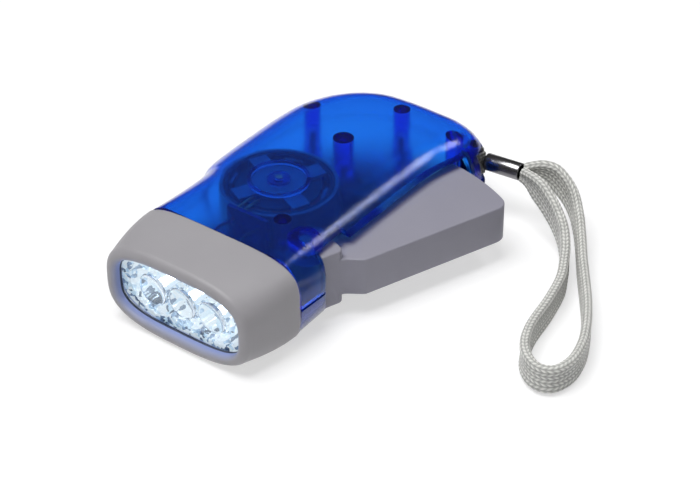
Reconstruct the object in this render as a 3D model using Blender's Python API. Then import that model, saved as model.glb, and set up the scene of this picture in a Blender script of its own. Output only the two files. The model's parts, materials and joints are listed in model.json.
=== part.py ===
"""Squeeze dynamo torch with three LEDs, in metres, +Z up.

The torch lies on its side. Its head points to -X, the squeeze lever opens to -Y, and the origin is on
the flat of the lower shell, just behind mid-length on the head's centre line. The lever stands open, as its
return spring leaves it, and closes by turning LEVER_TRAVEL about its pivot pin.
"""

import math

import bmesh
import bpy
from mathutils import Matrix, Vector

# Overall sizes
BODY_LENGTH = 0.108
TAIL_SHARE = 0.4861
BODY_HEIGHT = 0.026
NEAR_SIDE = 0.027
FAR_BULGE = 0.0032
SHELL_WALL = 0.0018
FRONT_WALL = 0.0015
GAP = 0.0003
OVERRUN = 0.002

# Bezel, lens, reflector and lamps
BEZEL_LENGTH = 0.0194
BEZEL_INSET = 0.0005
BEZEL_RISE = 0.0006
BEZEL_TAPER = 0.0024
BEZEL_DROP = 0.0002
BEZEL_LIP_ROUND = 0.002
BEZEL_WALL = 0.002
LIP_SIDE = 0.0034
LIP_WIDTH = 0.0036
LIP_FALL = 0.0016
LIP_DEPTH = 0.0032
LENS_THICKNESS = 0.0015
LENS_OVERLAP = 0.0009
BEAD_RADIUS = 0.00465
BEAD_HEIGHT = 0.0013
SEAT_LENGTH = 0.0056
SPIGOT_LENGTH = 0.0075
SPIGOT_WALL = 0.0015
REFLECTOR_DEPTH = 0.0084
REFLECTOR_FLANGE = 0.0012
REFLECTOR_CLEARANCE = 0.0007
CUP_RIM = 0.0015
LED_PITCH_SHARE = 0.463
LED_RADIUS = 0.0025
LED_LENGTH = 0.0086
LED_FLANGE_RADIUS = 0.0029
LED_FLANGE_HEIGHT = 0.001
LED_BOARD_MARGIN = 0.004
LED_BOARD_CLEARANCE = 0.0011
BOARD_THICKNESS = 0.0012

# Lever and its pivot, measured from the pivot with the lever closed
LEVER_TRAVEL = math.radians(20)
LEVER_SETBACK = 0.0156
LEVER_PROUD = 0.0005
LEVER_STEP = 0.00275
LEVER_WALL = 0.0018
LEVER_INNER_ANGLE = math.radians(15)
LEVER_CORNER = 0.0038
HUB_STEP = 0.0036
HUB_FRONT = 0.0012
HUB_BACK = 0.0081
HUB_INNER = 0.006
HUB_SETBACK = 0.0045
HUB_CORNER = 0.0018
KNUCKLE_RADIUS = 0.0054
KNUCKLE_STEP = 0.0025
RAMP_END = 0.0126
PIN_RADIUS = 0.0015
SLOT_CLEARANCE = 0.001
NOTCH_RISE = 0.0018
NOTCH_LENGTH = 0.0107
STRIP_ROUND = 0.003
PIVOT_BOSS_RADIUS = 0.0046
PIN_END = 0.0023
SPRING_WIRE = 0.0008
SPRING_COIL_RADIUS = 0.0029
SPRING_PITCH = 0.00125
SPRING_TURNS = 4
SPRING_END_ANGLE = math.radians(85)
SPRING_LEG = 0.009
SPRING_POCKET_HEIGHT = 0.007

# Generator
AXLE_RADIUS = 0.001
RUNNING_FIT = 0.0003
FLYWHEEL_CLEARANCE = 0.00086
FLYWHEEL_RIM = 0.001
FLYWHEEL_WEB = 0.0014
MAGNET_WALL = 0.001
AIR_GAP = 0.0007
CLAW_WIDTH = 0.0053
PLATE_THICKNESS = 0.0008
STATOR_CLEARANCE = 0.001
BOBBIN_CLEARANCE = 0.0007
CORE_RADIUS = 0.0033
RIB_RADIUS = 0.0085
RIB_WIDTH = 0.0009
RIB_DEPTH = 0.0009
CENTRE_BOSS_RADIUS = 0.0032

# Gear train
PINION_TEETH = 10
SECTOR_CIRCLE_TEETH = 110
STEP_WHEEL_TEETH = 40
RATCHET_WHEEL_TEETH = 32
TRAIN_SPREAD_SHARE = 0.949
PRESSURE_ANGLE = math.radians(20)
BACKLASH = 0.00016
PINION_WIDTH = 0.0036
SECTOR_WIDTH = 0.0045
RATCHET_TEETH = 12
RATCHET_RIM = 0.00158
RATCHET_TOOTH = 0.0008
RATCHET_WEB = 0.0006
CARRIER_CLEARANCE = 0.0009
CARRIER_THICKNESS = 0.0006
PAWL_PIN_SETBACK = 0.0013
PAWL_PIN_RADIUS = 0.00045
PAWL_EYE_RADIUS = 0.001
PAWL_CLEARANCE = 0.00042
PAWL_LIFT = 0.0006

# Posts and screws
POST_RADIUS = 0.0024
STRAP_SCREW_FROM_POST = (-0.0044, 0.0032)
STEP_POST_RADIUS = 0.00295
SCREW_HEAD_RADIUS = 0.0018
SCREW_HEAD_HEIGHT = 0.0015
SCREW_SHANK_RADIUS = 0.00085
SCREW_TOP_CLEARANCE = 0.0106
SCREW_RECESS = 0.0034
SCREW_JOINT_DROP = 0.004

# Strap post, ferrule and strap
STRAP_POST_FROM_TAIL = 0.0075
STRAP_POST_INSET = 0.0032
STRAP_POST_RADIUS = 0.0016
STRAP_CHANNEL = 0.002
STRAP_FLARE = 0.01
STRAP_RISE = 0.002
STRAP_SLOT_DROP = 0.006
STRAP_SLOT_RISE = 0.0053
CORNER_FILL_LENGTH = 0.0147
CORNER_FILL_DEPTH = 0.0095
FERRULE_RADIUS = 0.0025
FERRULE_WALL = 0.0004
FERRULE_FROM_POST = (0.0027, -0.0036)
FERRULE_RUN = (0.0006, -0.011, 0.0005)
STRAP_WIDTH = 0.0086
STRAP_THICKNESS = 0.0028
BIGHT_THICKNESS = 0.0011
BIGHT_WIDTH = 0.0074

# Power board, cells and wires
POWER_BOARD_WIDTH = 0.0134
POWER_BOARD_CLEARANCE = 0.0007
CELL_CLEARANCE = 0.0037
CELL_HEIGHT = 0.0052
CELL_COUNT = 3
CELL_START = -0.001
CELL_REST = 0.001
CELL_LEVEL = 0.0066
WIRE_RADIUS = 0.0004
COIL_LEAD_STEP = 0.0018

# Places of the lever's pivot, the generator's axle, the step gear's axle and the screws: along the body
# from the origin as a share of its length, and across as a share of the near side (negative) or far side
PLACE_SHARES = {
    "pivot": (-0.2102, -0.6444),
    "generator": (-0.0491, 0.1656),
    "step_gear": (0.1926, 0.0956),
    "tail": (0.3936, -0.0519),
    "side": (0.2713, 0.6755),
    "head": (-0.1852, -0.2926),
}

# Lower and upper faces of the train's wheels and the flywheel's underside, as shares of the hollow's height
STEP_WHEEL_SHARES = (0.038, 0.1183)
RATCHET_WHEEL_SHARES = (0.1585, 0.2746)
SECTOR_SHARES = (0.3147, 0.4643)
FLYWHEEL_BOTTOM_SHARE = 0.4911

# Worked out from the sizes above
FAR_SIDE = NEAR_SIDE + FAR_BULGE
TAIL_X = BODY_LENGTH * TAIL_SHARE
FRONT_X = TAIL_X - BODY_LENGTH
SHELL_FRONT_X = FRONT_X + BEZEL_LENGTH
SEAM_Z = BODY_HEIGHT / 2
FLOOR_Z = SHELL_WALL
CEILING_Z = BODY_HEIGHT - SHELL_WALL
BEZEL_HALF_WIDTH = NEAR_SIDE - BEZEL_INSET
BEZEL_HALF_HEIGHT = (BODY_HEIGHT + BEZEL_RISE) / 2
BEZEL_FRONT_HALF_WIDTH = BEZEL_HALF_WIDTH - BEZEL_TAPER
BEZEL_FRONT_HALF_HEIGHT = BEZEL_HALF_HEIGHT - BEZEL_DROP
OPENING_HALF_WIDTH = BEZEL_FRONT_HALF_WIDTH - LIP_SIDE
OPENING_HALF_HEIGHT = BEZEL_FRONT_HALF_HEIGHT - LIP_WIDTH
BEZEL_MIDDLE = SEAM_Z + BEZEL_RISE / 2
LED_PITCH = (OPENING_HALF_WIDTH + LENS_OVERLAP) * LED_PITCH_SHARE
LED_BOARD_HALF_WIDTH = LED_PITCH + LED_BOARD_MARGIN
HUB_HEIGHT = BODY_HEIGHT - 2 * HUB_SETBACK
SLOT_HALF_HEIGHT = HUB_HEIGHT / 2
LEVER_HEIGHT = HUB_HEIGHT - 2 * LEVER_STEP
KNUCKLE_HEIGHT = HUB_HEIGHT - 2 * KNUCKLE_STEP
STRAP_POST = Vector((TAIL_X - STRAP_POST_FROM_TAIL, STRAP_POST_INSET - NEAR_SIDE))
STRAP_LEVEL = SEAM_Z + STRAP_RISE
FERRULE_START = Vector((*(STRAP_POST + Vector(FERRULE_FROM_POST)), STRAP_LEVEL))
FERRULE_END = FERRULE_START + Vector(FERRULE_RUN)
SCREW_JOINT = SEAM_Z - SCREW_JOINT_DROP
SCREW_LENGTH = BODY_HEIGHT - SCREW_TOP_CLEARANCE - SCREW_RECESS


def place_of(name):
    """A named place in the body, from its shares."""
    along, across = PLACE_SHARES[name]
    return Vector((BODY_LENGTH * along, across * (NEAR_SIDE if across < 0 else FAR_SIDE)))


def level_of(share):
    """A height in the hollow, from its share."""
    return FLOOR_Z + (CEILING_Z - FLOOR_Z) * share


LEVER_PIVOT = place_of("pivot")
GENERATOR = place_of("generator")
STEP_GEAR = place_of("step_gear")
LEVER_RADIUS = TAIL_X - LEVER_SETBACK - LEVER_PIVOT.x
LEVER_FACE = NEAR_SIDE + LEVER_PROUD + LEVER_PIVOT.y
HUB_FACE = LEVER_FACE - HUB_STEP
LEVER_MODULE = (STEP_GEAR - LEVER_PIVOT).length * 2 / (SECTOR_CIRCLE_TEETH + PINION_TEETH)
TRAIN_TEETH = STEP_WHEEL_TEETH + RATCHET_WHEEL_TEETH + 2 * PINION_TEETH
TRAIN_MODULE = (STEP_GEAR - GENERATOR).length * 2 / TRAIN_SPREAD_SHARE / TRAIN_TEETH
RATCHET_ROOT_RADIUS = TRAIN_MODULE * RATCHET_WHEEL_TEETH / 2 - TRAIN_MODULE * 1.2 - RATCHET_RIM
RATCHET_TIP_RADIUS = RATCHET_ROOT_RADIUS - RATCHET_TOOTH
CARRIER_RADIUS = RATCHET_TIP_RADIUS - CARRIER_CLEARANCE
PAWL_PIVOT_RADIUS = CARRIER_RADIUS - PAWL_PIN_SETBACK
PAWL_LENGTH = math.sqrt((RATCHET_TIP_RADIUS - PAWL_CLEARANCE)**2 - (PAWL_PIVOT_RADIUS + PAWL_LIFT)**2)
FLYWHEEL_RADIUS = (GENERATOR - place_of("head")).length - POST_RADIUS - FLYWHEEL_CLEARANCE
FLYWHEEL_BOTTOM = level_of(FLYWHEEL_BOTTOM_SHARE)
CLAW_RADIUS = FLYWHEEL_RADIUS - FLYWHEEL_RIM - GAP - MAGNET_WALL - AIR_GAP
BOBBIN_RADIUS = CLAW_RADIUS - PLATE_THICKNESS - BOBBIN_CLEARANCE
POWER_BOARD_X = GENERATOR.x - FLYWHEEL_RADIUS - POWER_BOARD_CLEARANCE - BOARD_THICKNESS
POWER_BOARD_MIDDLE = place_of("head").y + POST_RADIUS + GAP + POWER_BOARD_WIDTH / 2

# Shell outline seen from above: place along the shell from its front edge to the tail, place across as
# a share of the near side (negative) or the far side, then the same for the edge of the flat face
OUTLINE_SHARES = (
    (0.0, -0.985, 0.0, -0.7),
    (0.137, -1.0, 0.137, -0.6),
    (0.407, -1.0, 0.407, -0.537),
    (0.644, -1.0, 0.621, -0.537),
    (0.745, -1.03, 0.695, -0.563),
    (0.824, -1.09, 0.762, -0.63),
    (0.891, -1.1, 0.824, -0.681),
    (0.954, -1.0, 0.873, -0.652),
    (0.991, -0.778, 0.896, -0.533),
    (0.999, -0.444, 0.901, -0.333),
    (1.0, 0.0, 0.898, -0.037),
    (0.987, 0.315, 0.884, 0.205),
    (0.943, 0.579, 0.842, 0.391),
    (0.87, 0.795, 0.785, 0.51),
    (0.774, 0.947, 0.717, 0.57),
    (0.655, 1.0, 0.638, 0.589),
    (0.497, 1.005, 0.497, 0.593),
    (0.384, 1.0, 0.384, 0.583),
    (0.317, 0.987, 0.311, 0.556),
    (0.283, 0.94, 0.271, 0.533),
    (0.255, 0.92, 0.238, 0.523),
    (0.204, 0.91, 0.193, 0.53),
    (0.114, 0.894, 0.114, 0.57),
    (0.0, 0.882, 0.0, 0.63),
)
SAMPLES_PER_SPAN = 2
SHELL_LEVELS = 6
ROUND_STEPS = 18
END_STEPS = 10
LED_STEPS = 12
HEAD_STEPS = 14

# How square the head's rounded sections are: 2 is an ellipse, more is squarer
REAR_POWER = 4.0
FRONT_POWER = 3.0
OPENING_POWER = 3.4

# Route of the wrist strap from the ferrule's mouth round the loop and back, at the strap's middle:
# along and across from the ferrule's end, then the height
STRAP_ROUTE = (
    (0.0011, -0.0010, 0.0157),
    (0.0020, -0.0028, 0.0163),
    (0.0030, -0.0056, 0.0164),
    (0.0037, -0.0090, 0.0152),
    (0.0032, -0.0132, 0.0128),
    (0.0012, -0.0172, 0.0101),
    (-0.0028, -0.0213, 0.0077),
    (-0.0081, -0.0254, 0.0059),
    (-0.0158, -0.0308, 0.0050),
    (-0.0233, -0.0363, 0.0047),
    (-0.0317, -0.0422, 0.0047),
    (-0.0401, -0.0471, 0.0047),
    (-0.0471, -0.0501, 0.0047),
    (-0.0543, -0.0514, 0.0047),
    (-0.0601, -0.0496, 0.0047),
    (-0.0611, -0.0448, 0.0047),
    (-0.0568, -0.0391, 0.0047),
    (-0.0484, -0.0352, 0.0047),
    (-0.0363, -0.0329, 0.0047),
    (-0.0263, -0.0303, 0.0047),
    (-0.0198, -0.0273, 0.0051),
    (-0.0145, -0.0243, 0.0063),
    (-0.0097, -0.0204, 0.0081),
    (-0.0062, -0.0156, 0.0105),
    (-0.0038, -0.0104, 0.0131),
    (-0.0022, -0.0059, 0.0148),
    (-0.0010, -0.0025, 0.0153),
    (-0.0009, -0.0008, 0.0155),
)
STRAP_END_WIDTH_SHARES = (0.5, 0.72, 0.92)
STRAP_POINTS = 50


# Materials

def material(name, colour, roughness, metallic=0.0, alpha=1.0):
    """A plain surface for one kind of piece."""
    surface = bpy.data.materials.new(name)
    surface.use_nodes = True
    shader = surface.node_tree.nodes["Principled BSDF"]
    shader.inputs["Base Color"].default_value = (*colour, 1.0)
    shader.inputs["Roughness"].default_value = roughness
    shader.inputs["Metallic"].default_value = metallic
    shader.inputs["Alpha"].default_value = alpha
    return surface


def make_materials():
    """Every surface that the torch's pieces share."""
    return {
        "clear_blue": material("clear_blue", (0.01, 0.08, 0.9), 0.12, alpha=0.55),
        "grey_plastic": material("grey_plastic", (0.33, 0.32, 0.34), 0.5),
        "clear_lens": material("clear_lens", (0.95, 0.97, 1.0), 0.05, alpha=0.25),
        "chrome": material("chrome", (0.85, 0.86, 0.88), 0.08, metallic=1.0),
        "lamp": material("lamp", (0.9, 0.95, 1.0), 0.1),
        "board": material("board", (0.12, 0.05, 0.3), 0.45),
        "steel": material("steel", (0.6, 0.6, 0.62), 0.3, metallic=1.0),
        "spring_steel": material("spring_steel", (0.45, 0.45, 0.47), 0.25, metallic=1.0),
        "gear_white": material("gear_white", (0.85, 0.85, 0.82), 0.4),
        "iron": material("iron", (0.25, 0.26, 0.28), 0.4, metallic=1.0),
        "magnet": material("magnet", (0.05, 0.05, 0.055), 0.6),
        "bobbin_black": material("bobbin_black", (0.03, 0.03, 0.03), 0.5),
        "copper": material("copper", (0.75, 0.32, 0.14), 0.3, metallic=1.0),
        "cell_green": material("cell_green", (0.05, 0.3, 0.12), 0.4),
        "wire_red": material("wire_red", (0.6, 0.03, 0.03), 0.45),
        "wire_black": material("wire_black", (0.02, 0.02, 0.02), 0.45),
        "nickel": material("nickel", (0.8, 0.78, 0.75), 0.12, metallic=1.0),
        "braid": material("braid", (0.56, 0.57, 0.54), 0.85),
    }


# Mesh helpers

def clear_scene():
    """Start from nothing."""
    for item in list(bpy.data.objects):
        bpy.data.objects.remove(item, do_unlink=True)


def object_from(name, work):
    """A linked object from a bmesh, with its faces turned outwards."""
    bmesh.ops.recalc_face_normals(work, faces=work.faces)
    mesh = bpy.data.meshes.new(name)
    work.to_mesh(mesh)
    work.free()
    item = bpy.data.objects.new(name, mesh)
    bpy.context.collection.objects.link(item)
    return item


def loft(name, rings, closed=False):
    """A solid through rings of equal counts, capped at both ends or closed back on its first ring."""
    work = bmesh.new()
    loops = [[work.verts.new(point) for point in ring] for ring in rings]
    pairs = list(zip(loops, loops[1:]))
    if closed:
        pairs.append((loops[-1], loops[0]))
    for lower, upper in pairs:
        for i in range(len(lower)):
            j = (i + 1) % len(lower)
            work.faces.new((lower[i], lower[j], upper[j], upper[i]))
    if not closed:
        work.faces.new(loops[0])
        work.faces.new(loops[-1])
    return object_from(name, work)


def prism(name, points, bottom, top):
    """A flat outline in X and Y raised from bottom to top."""
    return loft(name, [[(x, y, z) for x, y in points] for z in (bottom, top)])


def arc(centre, radius, start, end, steps):
    """Points along an arc, both ends included."""
    angles = [start + (end - start) * i / steps for i in range(steps + 1)]
    return [(centre[0] + radius * math.cos(a), centre[1] + radius * math.sin(a)) for a in angles]


def circle(centre, radius, steps=ROUND_STEPS):
    """Points round a full circle, the first not repeated."""
    return arc(centre, radius, 0, 2 * math.pi, steps)[:-1]


def disc(name, centre, radius, bottom, top, steps=ROUND_STEPS):
    """An upright cylinder."""
    return prism(name, circle(centre, radius, steps), bottom, top)


def box(name, low, high):
    """A box between two corners."""
    outline = [(low[0], low[1]), (high[0], low[1]), (high[0], high[1]), (low[0], high[1])]
    return prism(name, outline, low[2], high[2])


def turned(name, profile, centre, steps=ROUND_STEPS):
    """A solid of revolution with a bore, from a closed profile of radius and height."""
    angles = [2 * math.pi * i / steps for i in range(steps)]
    rings = []
    for radius, height in profile:
        ring = [(centre[0] + radius * math.cos(a), centre[1] + radius * math.sin(a), height) for a in angles]
        rings.append(ring)
    return loft(name, rings, closed=True)


def combine(target, tool, operation):
    """Apply one Boolean to the target and remove the tool."""
    tool.hide_render = True
    tool.display_type = "WIRE"
    change = target.modifiers.new(operation.lower(), "BOOLEAN")
    change.operation = operation
    change.object = tool
    evaluated = target.evaluated_get(bpy.context.evaluated_depsgraph_get())
    mesh = bpy.data.meshes.new_from_object(evaluated)
    target.modifiers.clear()
    target.data = mesh
    bpy.data.objects.remove(tool, do_unlink=True)
    return target


def cut(target, *tools):
    """Take tools away from the target."""
    for tool in tools:
        combine(target, tool, "DIFFERENCE")
    return target


def join(target, *tools):
    """Fuse tools to the target."""
    for tool in tools:
        combine(target, tool, "UNION")
    return target


def finish(item, name, surface, smooth_angle=math.radians(35)):
    """Name the piece, give it its surface and shade its round faces smooth."""
    item.name = name
    item.data.name = name
    item.data.materials.clear()
    item.data.materials.append(surface)
    if item.type == "MESH":
        item.data.shade_smooth()
        item.data.set_sharp_from_angle(angle=smooth_angle)
    return item


def turn_about(item, pivot, angle):
    """Turn a finished piece about an upright axis and keep its origin on that axis."""
    place = Vector((pivot[0], pivot[1], 0))
    item.data.transform(Matrix.Translation(-place))
    item.location = place
    item.rotation_euler.z = angle
    return item


def smooth_path(points, samples_per_span):
    """Points along a Catmull-Rom curve through the given points, which may have any dimension."""
    result = []
    last = len(points) - 1
    for i in range(last):
        before = points[max(i - 1, 0)]
        start = points[i]
        end = points[i + 1]
        after = points[min(i + 2, last)]
        for step in range(samples_per_span):
            t = step / samples_per_span
            weights = (
                (-t + 2 * t**2 - t**3) / 2,
                (2 - 5 * t**2 + 3 * t**3) / 2,
                (t + 4 * t**2 - 3 * t**3) / 2,
                (-t**2 + t**3) / 2,
            )
            rows = zip(before, start, end, after)
            result.append(tuple(sum(w * value for w, value in zip(weights, row)) for row in rows))
    result.append(tuple(points[last]))
    return result


def stadium(half_width, half_height):
    """A straight-sided oval across the torch, as points of Y and height about its middle."""
    centre = half_width - half_height
    right = arc((centre, 0), half_height, -math.pi / 2, math.pi / 2, HEAD_STEPS)
    left = arc((-centre, 0), half_height, math.pi / 2, 3 * math.pi / 2, HEAD_STEPS)
    return right + left


def stadium_ring(x, half_width, half_height, middle=SEAM_Z):
    """One straight-sided oval at a place along the torch."""
    return [(x, y, middle + z) for y, z in stadium(half_width, half_height)]


def oblong_ring(x, half_width, half_height, power, middle=SEAM_Z):
    """One superellipse at a place along the torch, with as many points as a straight-sided oval."""
    ring = []
    per_side = HEAD_STEPS + 1
    for index in range(2 * per_side):
        angle = math.pi * (index + 0.5) / per_side - math.pi / 2
        across = math.copysign(abs(math.cos(angle))**(2 / power), math.cos(angle))
        rise = math.copysign(abs(math.sin(angle))**(2 / power), math.sin(angle))
        ring.append((x, half_width * across, middle + half_height * rise))
    return ring


# Shell form

def outline():
    """The seam line and the flat face's edge as two lists of equal count, from near front to far front."""
    def across(share):
        return share * (NEAR_SIDE if share < 0 else FAR_SIDE)

    length = TAIL_X - SHELL_FRONT_X
    keys = []
    for x, y, top_x, top_y in OUTLINE_SHARES:
        place = (SHELL_FRONT_X + length * x, across(y), SHELL_FRONT_X + length * top_x, across(top_y))
        keys.append(place)
    samples = smooth_path(keys, SAMPLES_PER_SPAN)
    return [Vector(s[:2]) for s in samples], [Vector(s[2:]) for s in samples]


def inset_points(points, distance, front):
    """The seam line moved inwards by a wall, and held back from the front edge."""
    moved = []
    for i, point in enumerate(points):
        tangent = points[min(i + 1, len(points) - 1)] - points[max(i - 1, 0)]
        tangent.normalize()
        place = point + Vector((-tangent.y, tangent.x)) * distance
        place.x = max(place.x, front)
        moved.append(place)
    return moved


def half_form(name, direction, inset=0.0):
    """Half of the body's outer form, or of its hollow where inset is the wall."""
    seam_line, face_line = outline()
    rings = []
    first = GAP / 2
    if inset:
        front = SHELL_FRONT_X + FRONT_WALL
        seam_line = inset_points(seam_line, inset, front)
        face_line = [Vector((max(p.x, front), p.y)) for p in face_line]
        rings.append([(p.x, p.y, SEAM_Z - direction * OVERRUN) for p in seam_line])
        first = 0.0
    height = BODY_HEIGHT / 2 - inset
    for level in range(SHELL_LEVELS + 1):
        angle = math.pi / 2 * level / SHELL_LEVELS
        share = 1 - math.cos(angle)
        z = SEAM_Z + direction * max(height * math.sin(angle), first)
        rings.append([(*(s.lerp(f, share)), z) for s, f in zip(seam_line, face_line)])
    return loft(name, rings)


def half_spigot(name, direction, half_width, half_height, first, ends):
    """Half of the collar that the bezel slips over, or of its bore, starting at a height off the seam."""
    centre = half_width - half_height
    lift = math.asin(max(first, 0.0) / half_height)
    ring = arc((centre, 0), half_height, lift, math.pi / 2, HEAD_STEPS // 2)
    ring += arc((-centre, 0), half_height, math.pi / 2, math.pi - lift, HEAD_STEPS // 2)
    if first < 0:
        ring = [(half_width, first), *ring, (-half_width, first)]
    return loft(name, [[(x, y, SEAM_Z + direction * z) for y, z in ring] for x in ends])


def spigot_half_width():
    """Half the width of the collar inside the bezel."""
    return BEZEL_HALF_WIDTH - BEZEL_WALL - 2 * GAP - OVERRUN / 4


def spigot_half_height():
    """Half the height of the collar inside the bezel."""
    return SEAM_Z - BEZEL_WALL - 2 * GAP


def lever_slot(direction):
    """The side opening that the lever swings in, rounded where the head's side strip ends."""
    left = LEVER_PIVOT.x - SLOT_CLEARANCE - GAP * 2
    right = LEVER_PIVOT.x + LEVER_RADIUS + SLOT_CLEARANCE
    inner = -(NEAR_SIDE - SHELL_WALL - LEVER_FACE / 2)
    strip = arc((left - STRIP_ROUND, -NEAR_SIDE + STRIP_ROUND), STRIP_ROUND, 0, -math.pi / 2, 5)
    outside = -NEAR_SIDE * 2
    points = [(left, inner), *strip, (left - STRIP_ROUND, outside), (right, outside), (right, inner)]
    return prism("slot", points, *ordered(SEAM_Z - direction * OVERRUN, SEAM_Z + direction * SLOT_HALF_HEIGHT))


def hub_notch(direction):
    """The deeper notch above and below the lever's hub."""
    left = LEVER_PIVOT.x - SLOT_CLEARANCE - GAP * 2
    right = LEVER_PIVOT.x + NOTCH_LENGTH
    inner = 2 * GAP - (NEAR_SIDE - SHELL_WALL - LEVER_FACE / 2)
    top = SEAM_Z + direction * (SLOT_HALF_HEIGHT + NOTCH_RISE)
    low, high = ordered(SEAM_Z - direction * OVERRUN, top)
    return box("notch", (left, -NEAR_SIDE * 2, low), (right, inner, high))


def ordered(a, b):
    """Two heights, the lower first."""
    return (min(a, b), max(a, b))


def strap_channel():
    """The opening round the strap post at the tail corner."""
    outer = STRAP_POST_RADIUS + STRAP_CHANNEL
    back = arc(STRAP_POST, outer, 0, math.pi, ROUND_STEPS // 2)
    outside = -NEAR_SIDE * 2
    points = [*back, (STRAP_POST.x - outer, outside), (STRAP_POST.x + outer + STRAP_FLARE, outside)]
    bottom = STRAP_LEVEL - STRAP_SLOT_DROP
    top = STRAP_LEVEL + STRAP_SLOT_RISE
    channel = prism("channel", points, bottom, top)
    post = disc("post", STRAP_POST, STRAP_POST_RADIUS, bottom - OVERRUN, top + OVERRUN)
    return cut(channel, post)


def in_corner(place):
    """Whether a place lies in the solid tail corner that carries the strap."""
    return place.x > TAIL_X - CORNER_FILL_LENGTH and place.y < CORNER_FILL_DEPTH - NEAR_SIDE


def boss_tools(bosses):
    """Cylinders for a list of bosses, each a place, a radius and its two ends."""
    return [disc("boss", place, radius, *ordered(first, last), steps) for place, radius, first, last, steps in bosses]


def shell_half(direction, bosses, pivot_boss):
    """One moulded half with its wall, collar, bosses, lever slot and strap opening."""
    shell = half_form("shell", direction)
    width = spigot_half_width()
    height = spigot_half_height()
    front = SHELL_FRONT_X - SPIGOT_LENGTH
    join(shell, half_spigot("collar", direction, width, height, GAP / 2, (front, SHELL_FRONT_X + FRONT_WALL / 2)))
    past_seam = [boss for boss in bosses if direction * (boss[2] - SEAM_Z) < 0 and not in_corner(boss[0])]
    join(shell, *boss_tools([(*boss[:3], SEAM_Z + direction * OVERRUN, boss[4]) for boss in past_seam]))
    hollow = half_form("hollow", direction, SHELL_WALL)
    corner_low = (TAIL_X - CORNER_FILL_LENGTH, -NEAR_SIDE * 2, -OVERRUN)
    corner_high = (TAIL_X + OVERRUN, CORNER_FILL_DEPTH - NEAR_SIDE, BODY_HEIGHT + OVERRUN)
    cut(hollow, box("corner", corner_low, corner_high), *boss_tools([*bosses, pivot_boss]))
    cut(shell, hollow)
    ends = (front - OVERRUN, SHELL_FRONT_X + FRONT_WALL + OVERRUN)
    cut(shell, half_spigot("bore", direction, width - SPIGOT_WALL, height - SPIGOT_WALL, -OVERRUN, ends))
    place, radius, first, last, steps = pivot_boss
    spared = (place, radius + GAP, first - direction * GAP, last, steps)
    notch = cut(hub_notch(direction), *boss_tools([spared]))
    cut(shell, lever_slot(direction), notch, strap_channel())
    return shell


def screw_places():
    """The four screws' places by name."""
    places = {key: place_of(key) for key in ("tail", "side", "head")}
    places["strap"] = STRAP_POST + Vector(STRAP_SCREW_FROM_POST)
    return places


def make_upper_shell(surfaces):
    """The upper shell, with the posts that hang from its ceiling."""
    skin = CEILING_Z + SHELL_WALL / 2
    rib_end = CEILING_Z - RIB_DEPTH
    boss_end = SEAM_Z + SLOT_HALF_HEIGHT + GAP
    bosses = [(place, POST_RADIUS, SCREW_JOINT + GAP, skin, END_STEPS) for place in screw_places().values()]
    bosses.append((GENERATOR, CENTRE_BOSS_RADIUS, rib_end, skin, ROUND_STEPS))
    bosses.append((STEP_GEAR, STEP_POST_RADIUS, step_post_end(), skin, ROUND_STEPS))
    shell = shell_half(1, bosses, (LEVER_PIVOT, PIVOT_BOSS_RADIUS, boss_end, skin, ROUND_STEPS))
    inner = RIB_RADIUS - RIB_WIDTH
    rib = [(RIB_RADIUS, skin), (inner, skin), (inner, rib_end), (RIB_RADIUS, rib_end)]
    join(shell, turned("rib", rib, GENERATOR))
    pilot = SCREW_SHANK_RADIUS + GAP
    for place in screw_places().values():
        top = SCREW_RECESS + SCREW_LENGTH + SHELL_WALL
        cut(shell, disc("pilot", place, pilot, SCREW_JOINT - OVERRUN, top, END_STEPS))
    pin_end = BODY_HEIGHT - PIN_END + GAP
    cut(shell, disc("hole", LEVER_PIVOT, PIN_RADIUS + GAP, boss_end - OVERRUN, pin_end))
    seat = AXLE_RADIUS + GAP / 2
    cut(shell, disc("hole", GENERATOR, seat, rib_end - OVERRUN, skin, END_STEPS))
    cut(shell, disc("hole", STEP_GEAR, seat, step_post_end() - OVERRUN, step_post_end() + PINION_WIDTH,
                    END_STEPS))
    return finish(shell, "upper_shell", surfaces["clear_blue"])


def make_lower_shell(surfaces):
    """The lower shell, with axle bosses and the screws' counterbores."""
    skin = FLOOR_Z / 2
    boss_end = SEAM_Z - SLOT_HALF_HEIGHT - GAP
    axle_bosses = (
        (GENERATOR, flywheel_pinion_bottom() - GAP),
        (STEP_GEAR, step_wheel_bottom() - GAP),
        (ratchet_place(), step_wheel_bottom() - GAP),
    )
    bosses = [(place, CENTRE_BOSS_RADIUS, top, skin, ROUND_STEPS) for place, top in axle_bosses]
    bosses += [(place, POST_RADIUS + GAP, SCREW_JOINT, skin, END_STEPS) for place in screw_places().values()]
    shell = shell_half(-1, bosses, (LEVER_PIVOT, PIVOT_BOSS_RADIUS, boss_end, skin, ROUND_STEPS))
    for place in screw_places().values():
        seat = SCREW_RECESS + SCREW_HEAD_HEIGHT + GAP
        cut(shell, disc("recess", place, SCREW_HEAD_RADIUS + GAP, -OVERRUN, seat, END_STEPS))
        cut(shell, disc("hole", place, SCREW_SHANK_RADIUS + GAP, seat - OVERRUN, SEAM_Z + OVERRUN, END_STEPS))
    cut(shell, disc("hole", LEVER_PIVOT, PIN_RADIUS + GAP, PIN_END - GAP, boss_end + OVERRUN))
    for place, top in axle_bosses:
        cut(shell, disc("hole", place, AXLE_RADIUS + GAP / 2, skin, top + OVERRUN, END_STEPS))
    return finish(shell, "lower_shell", surfaces["clear_blue"])


# Head

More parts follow.
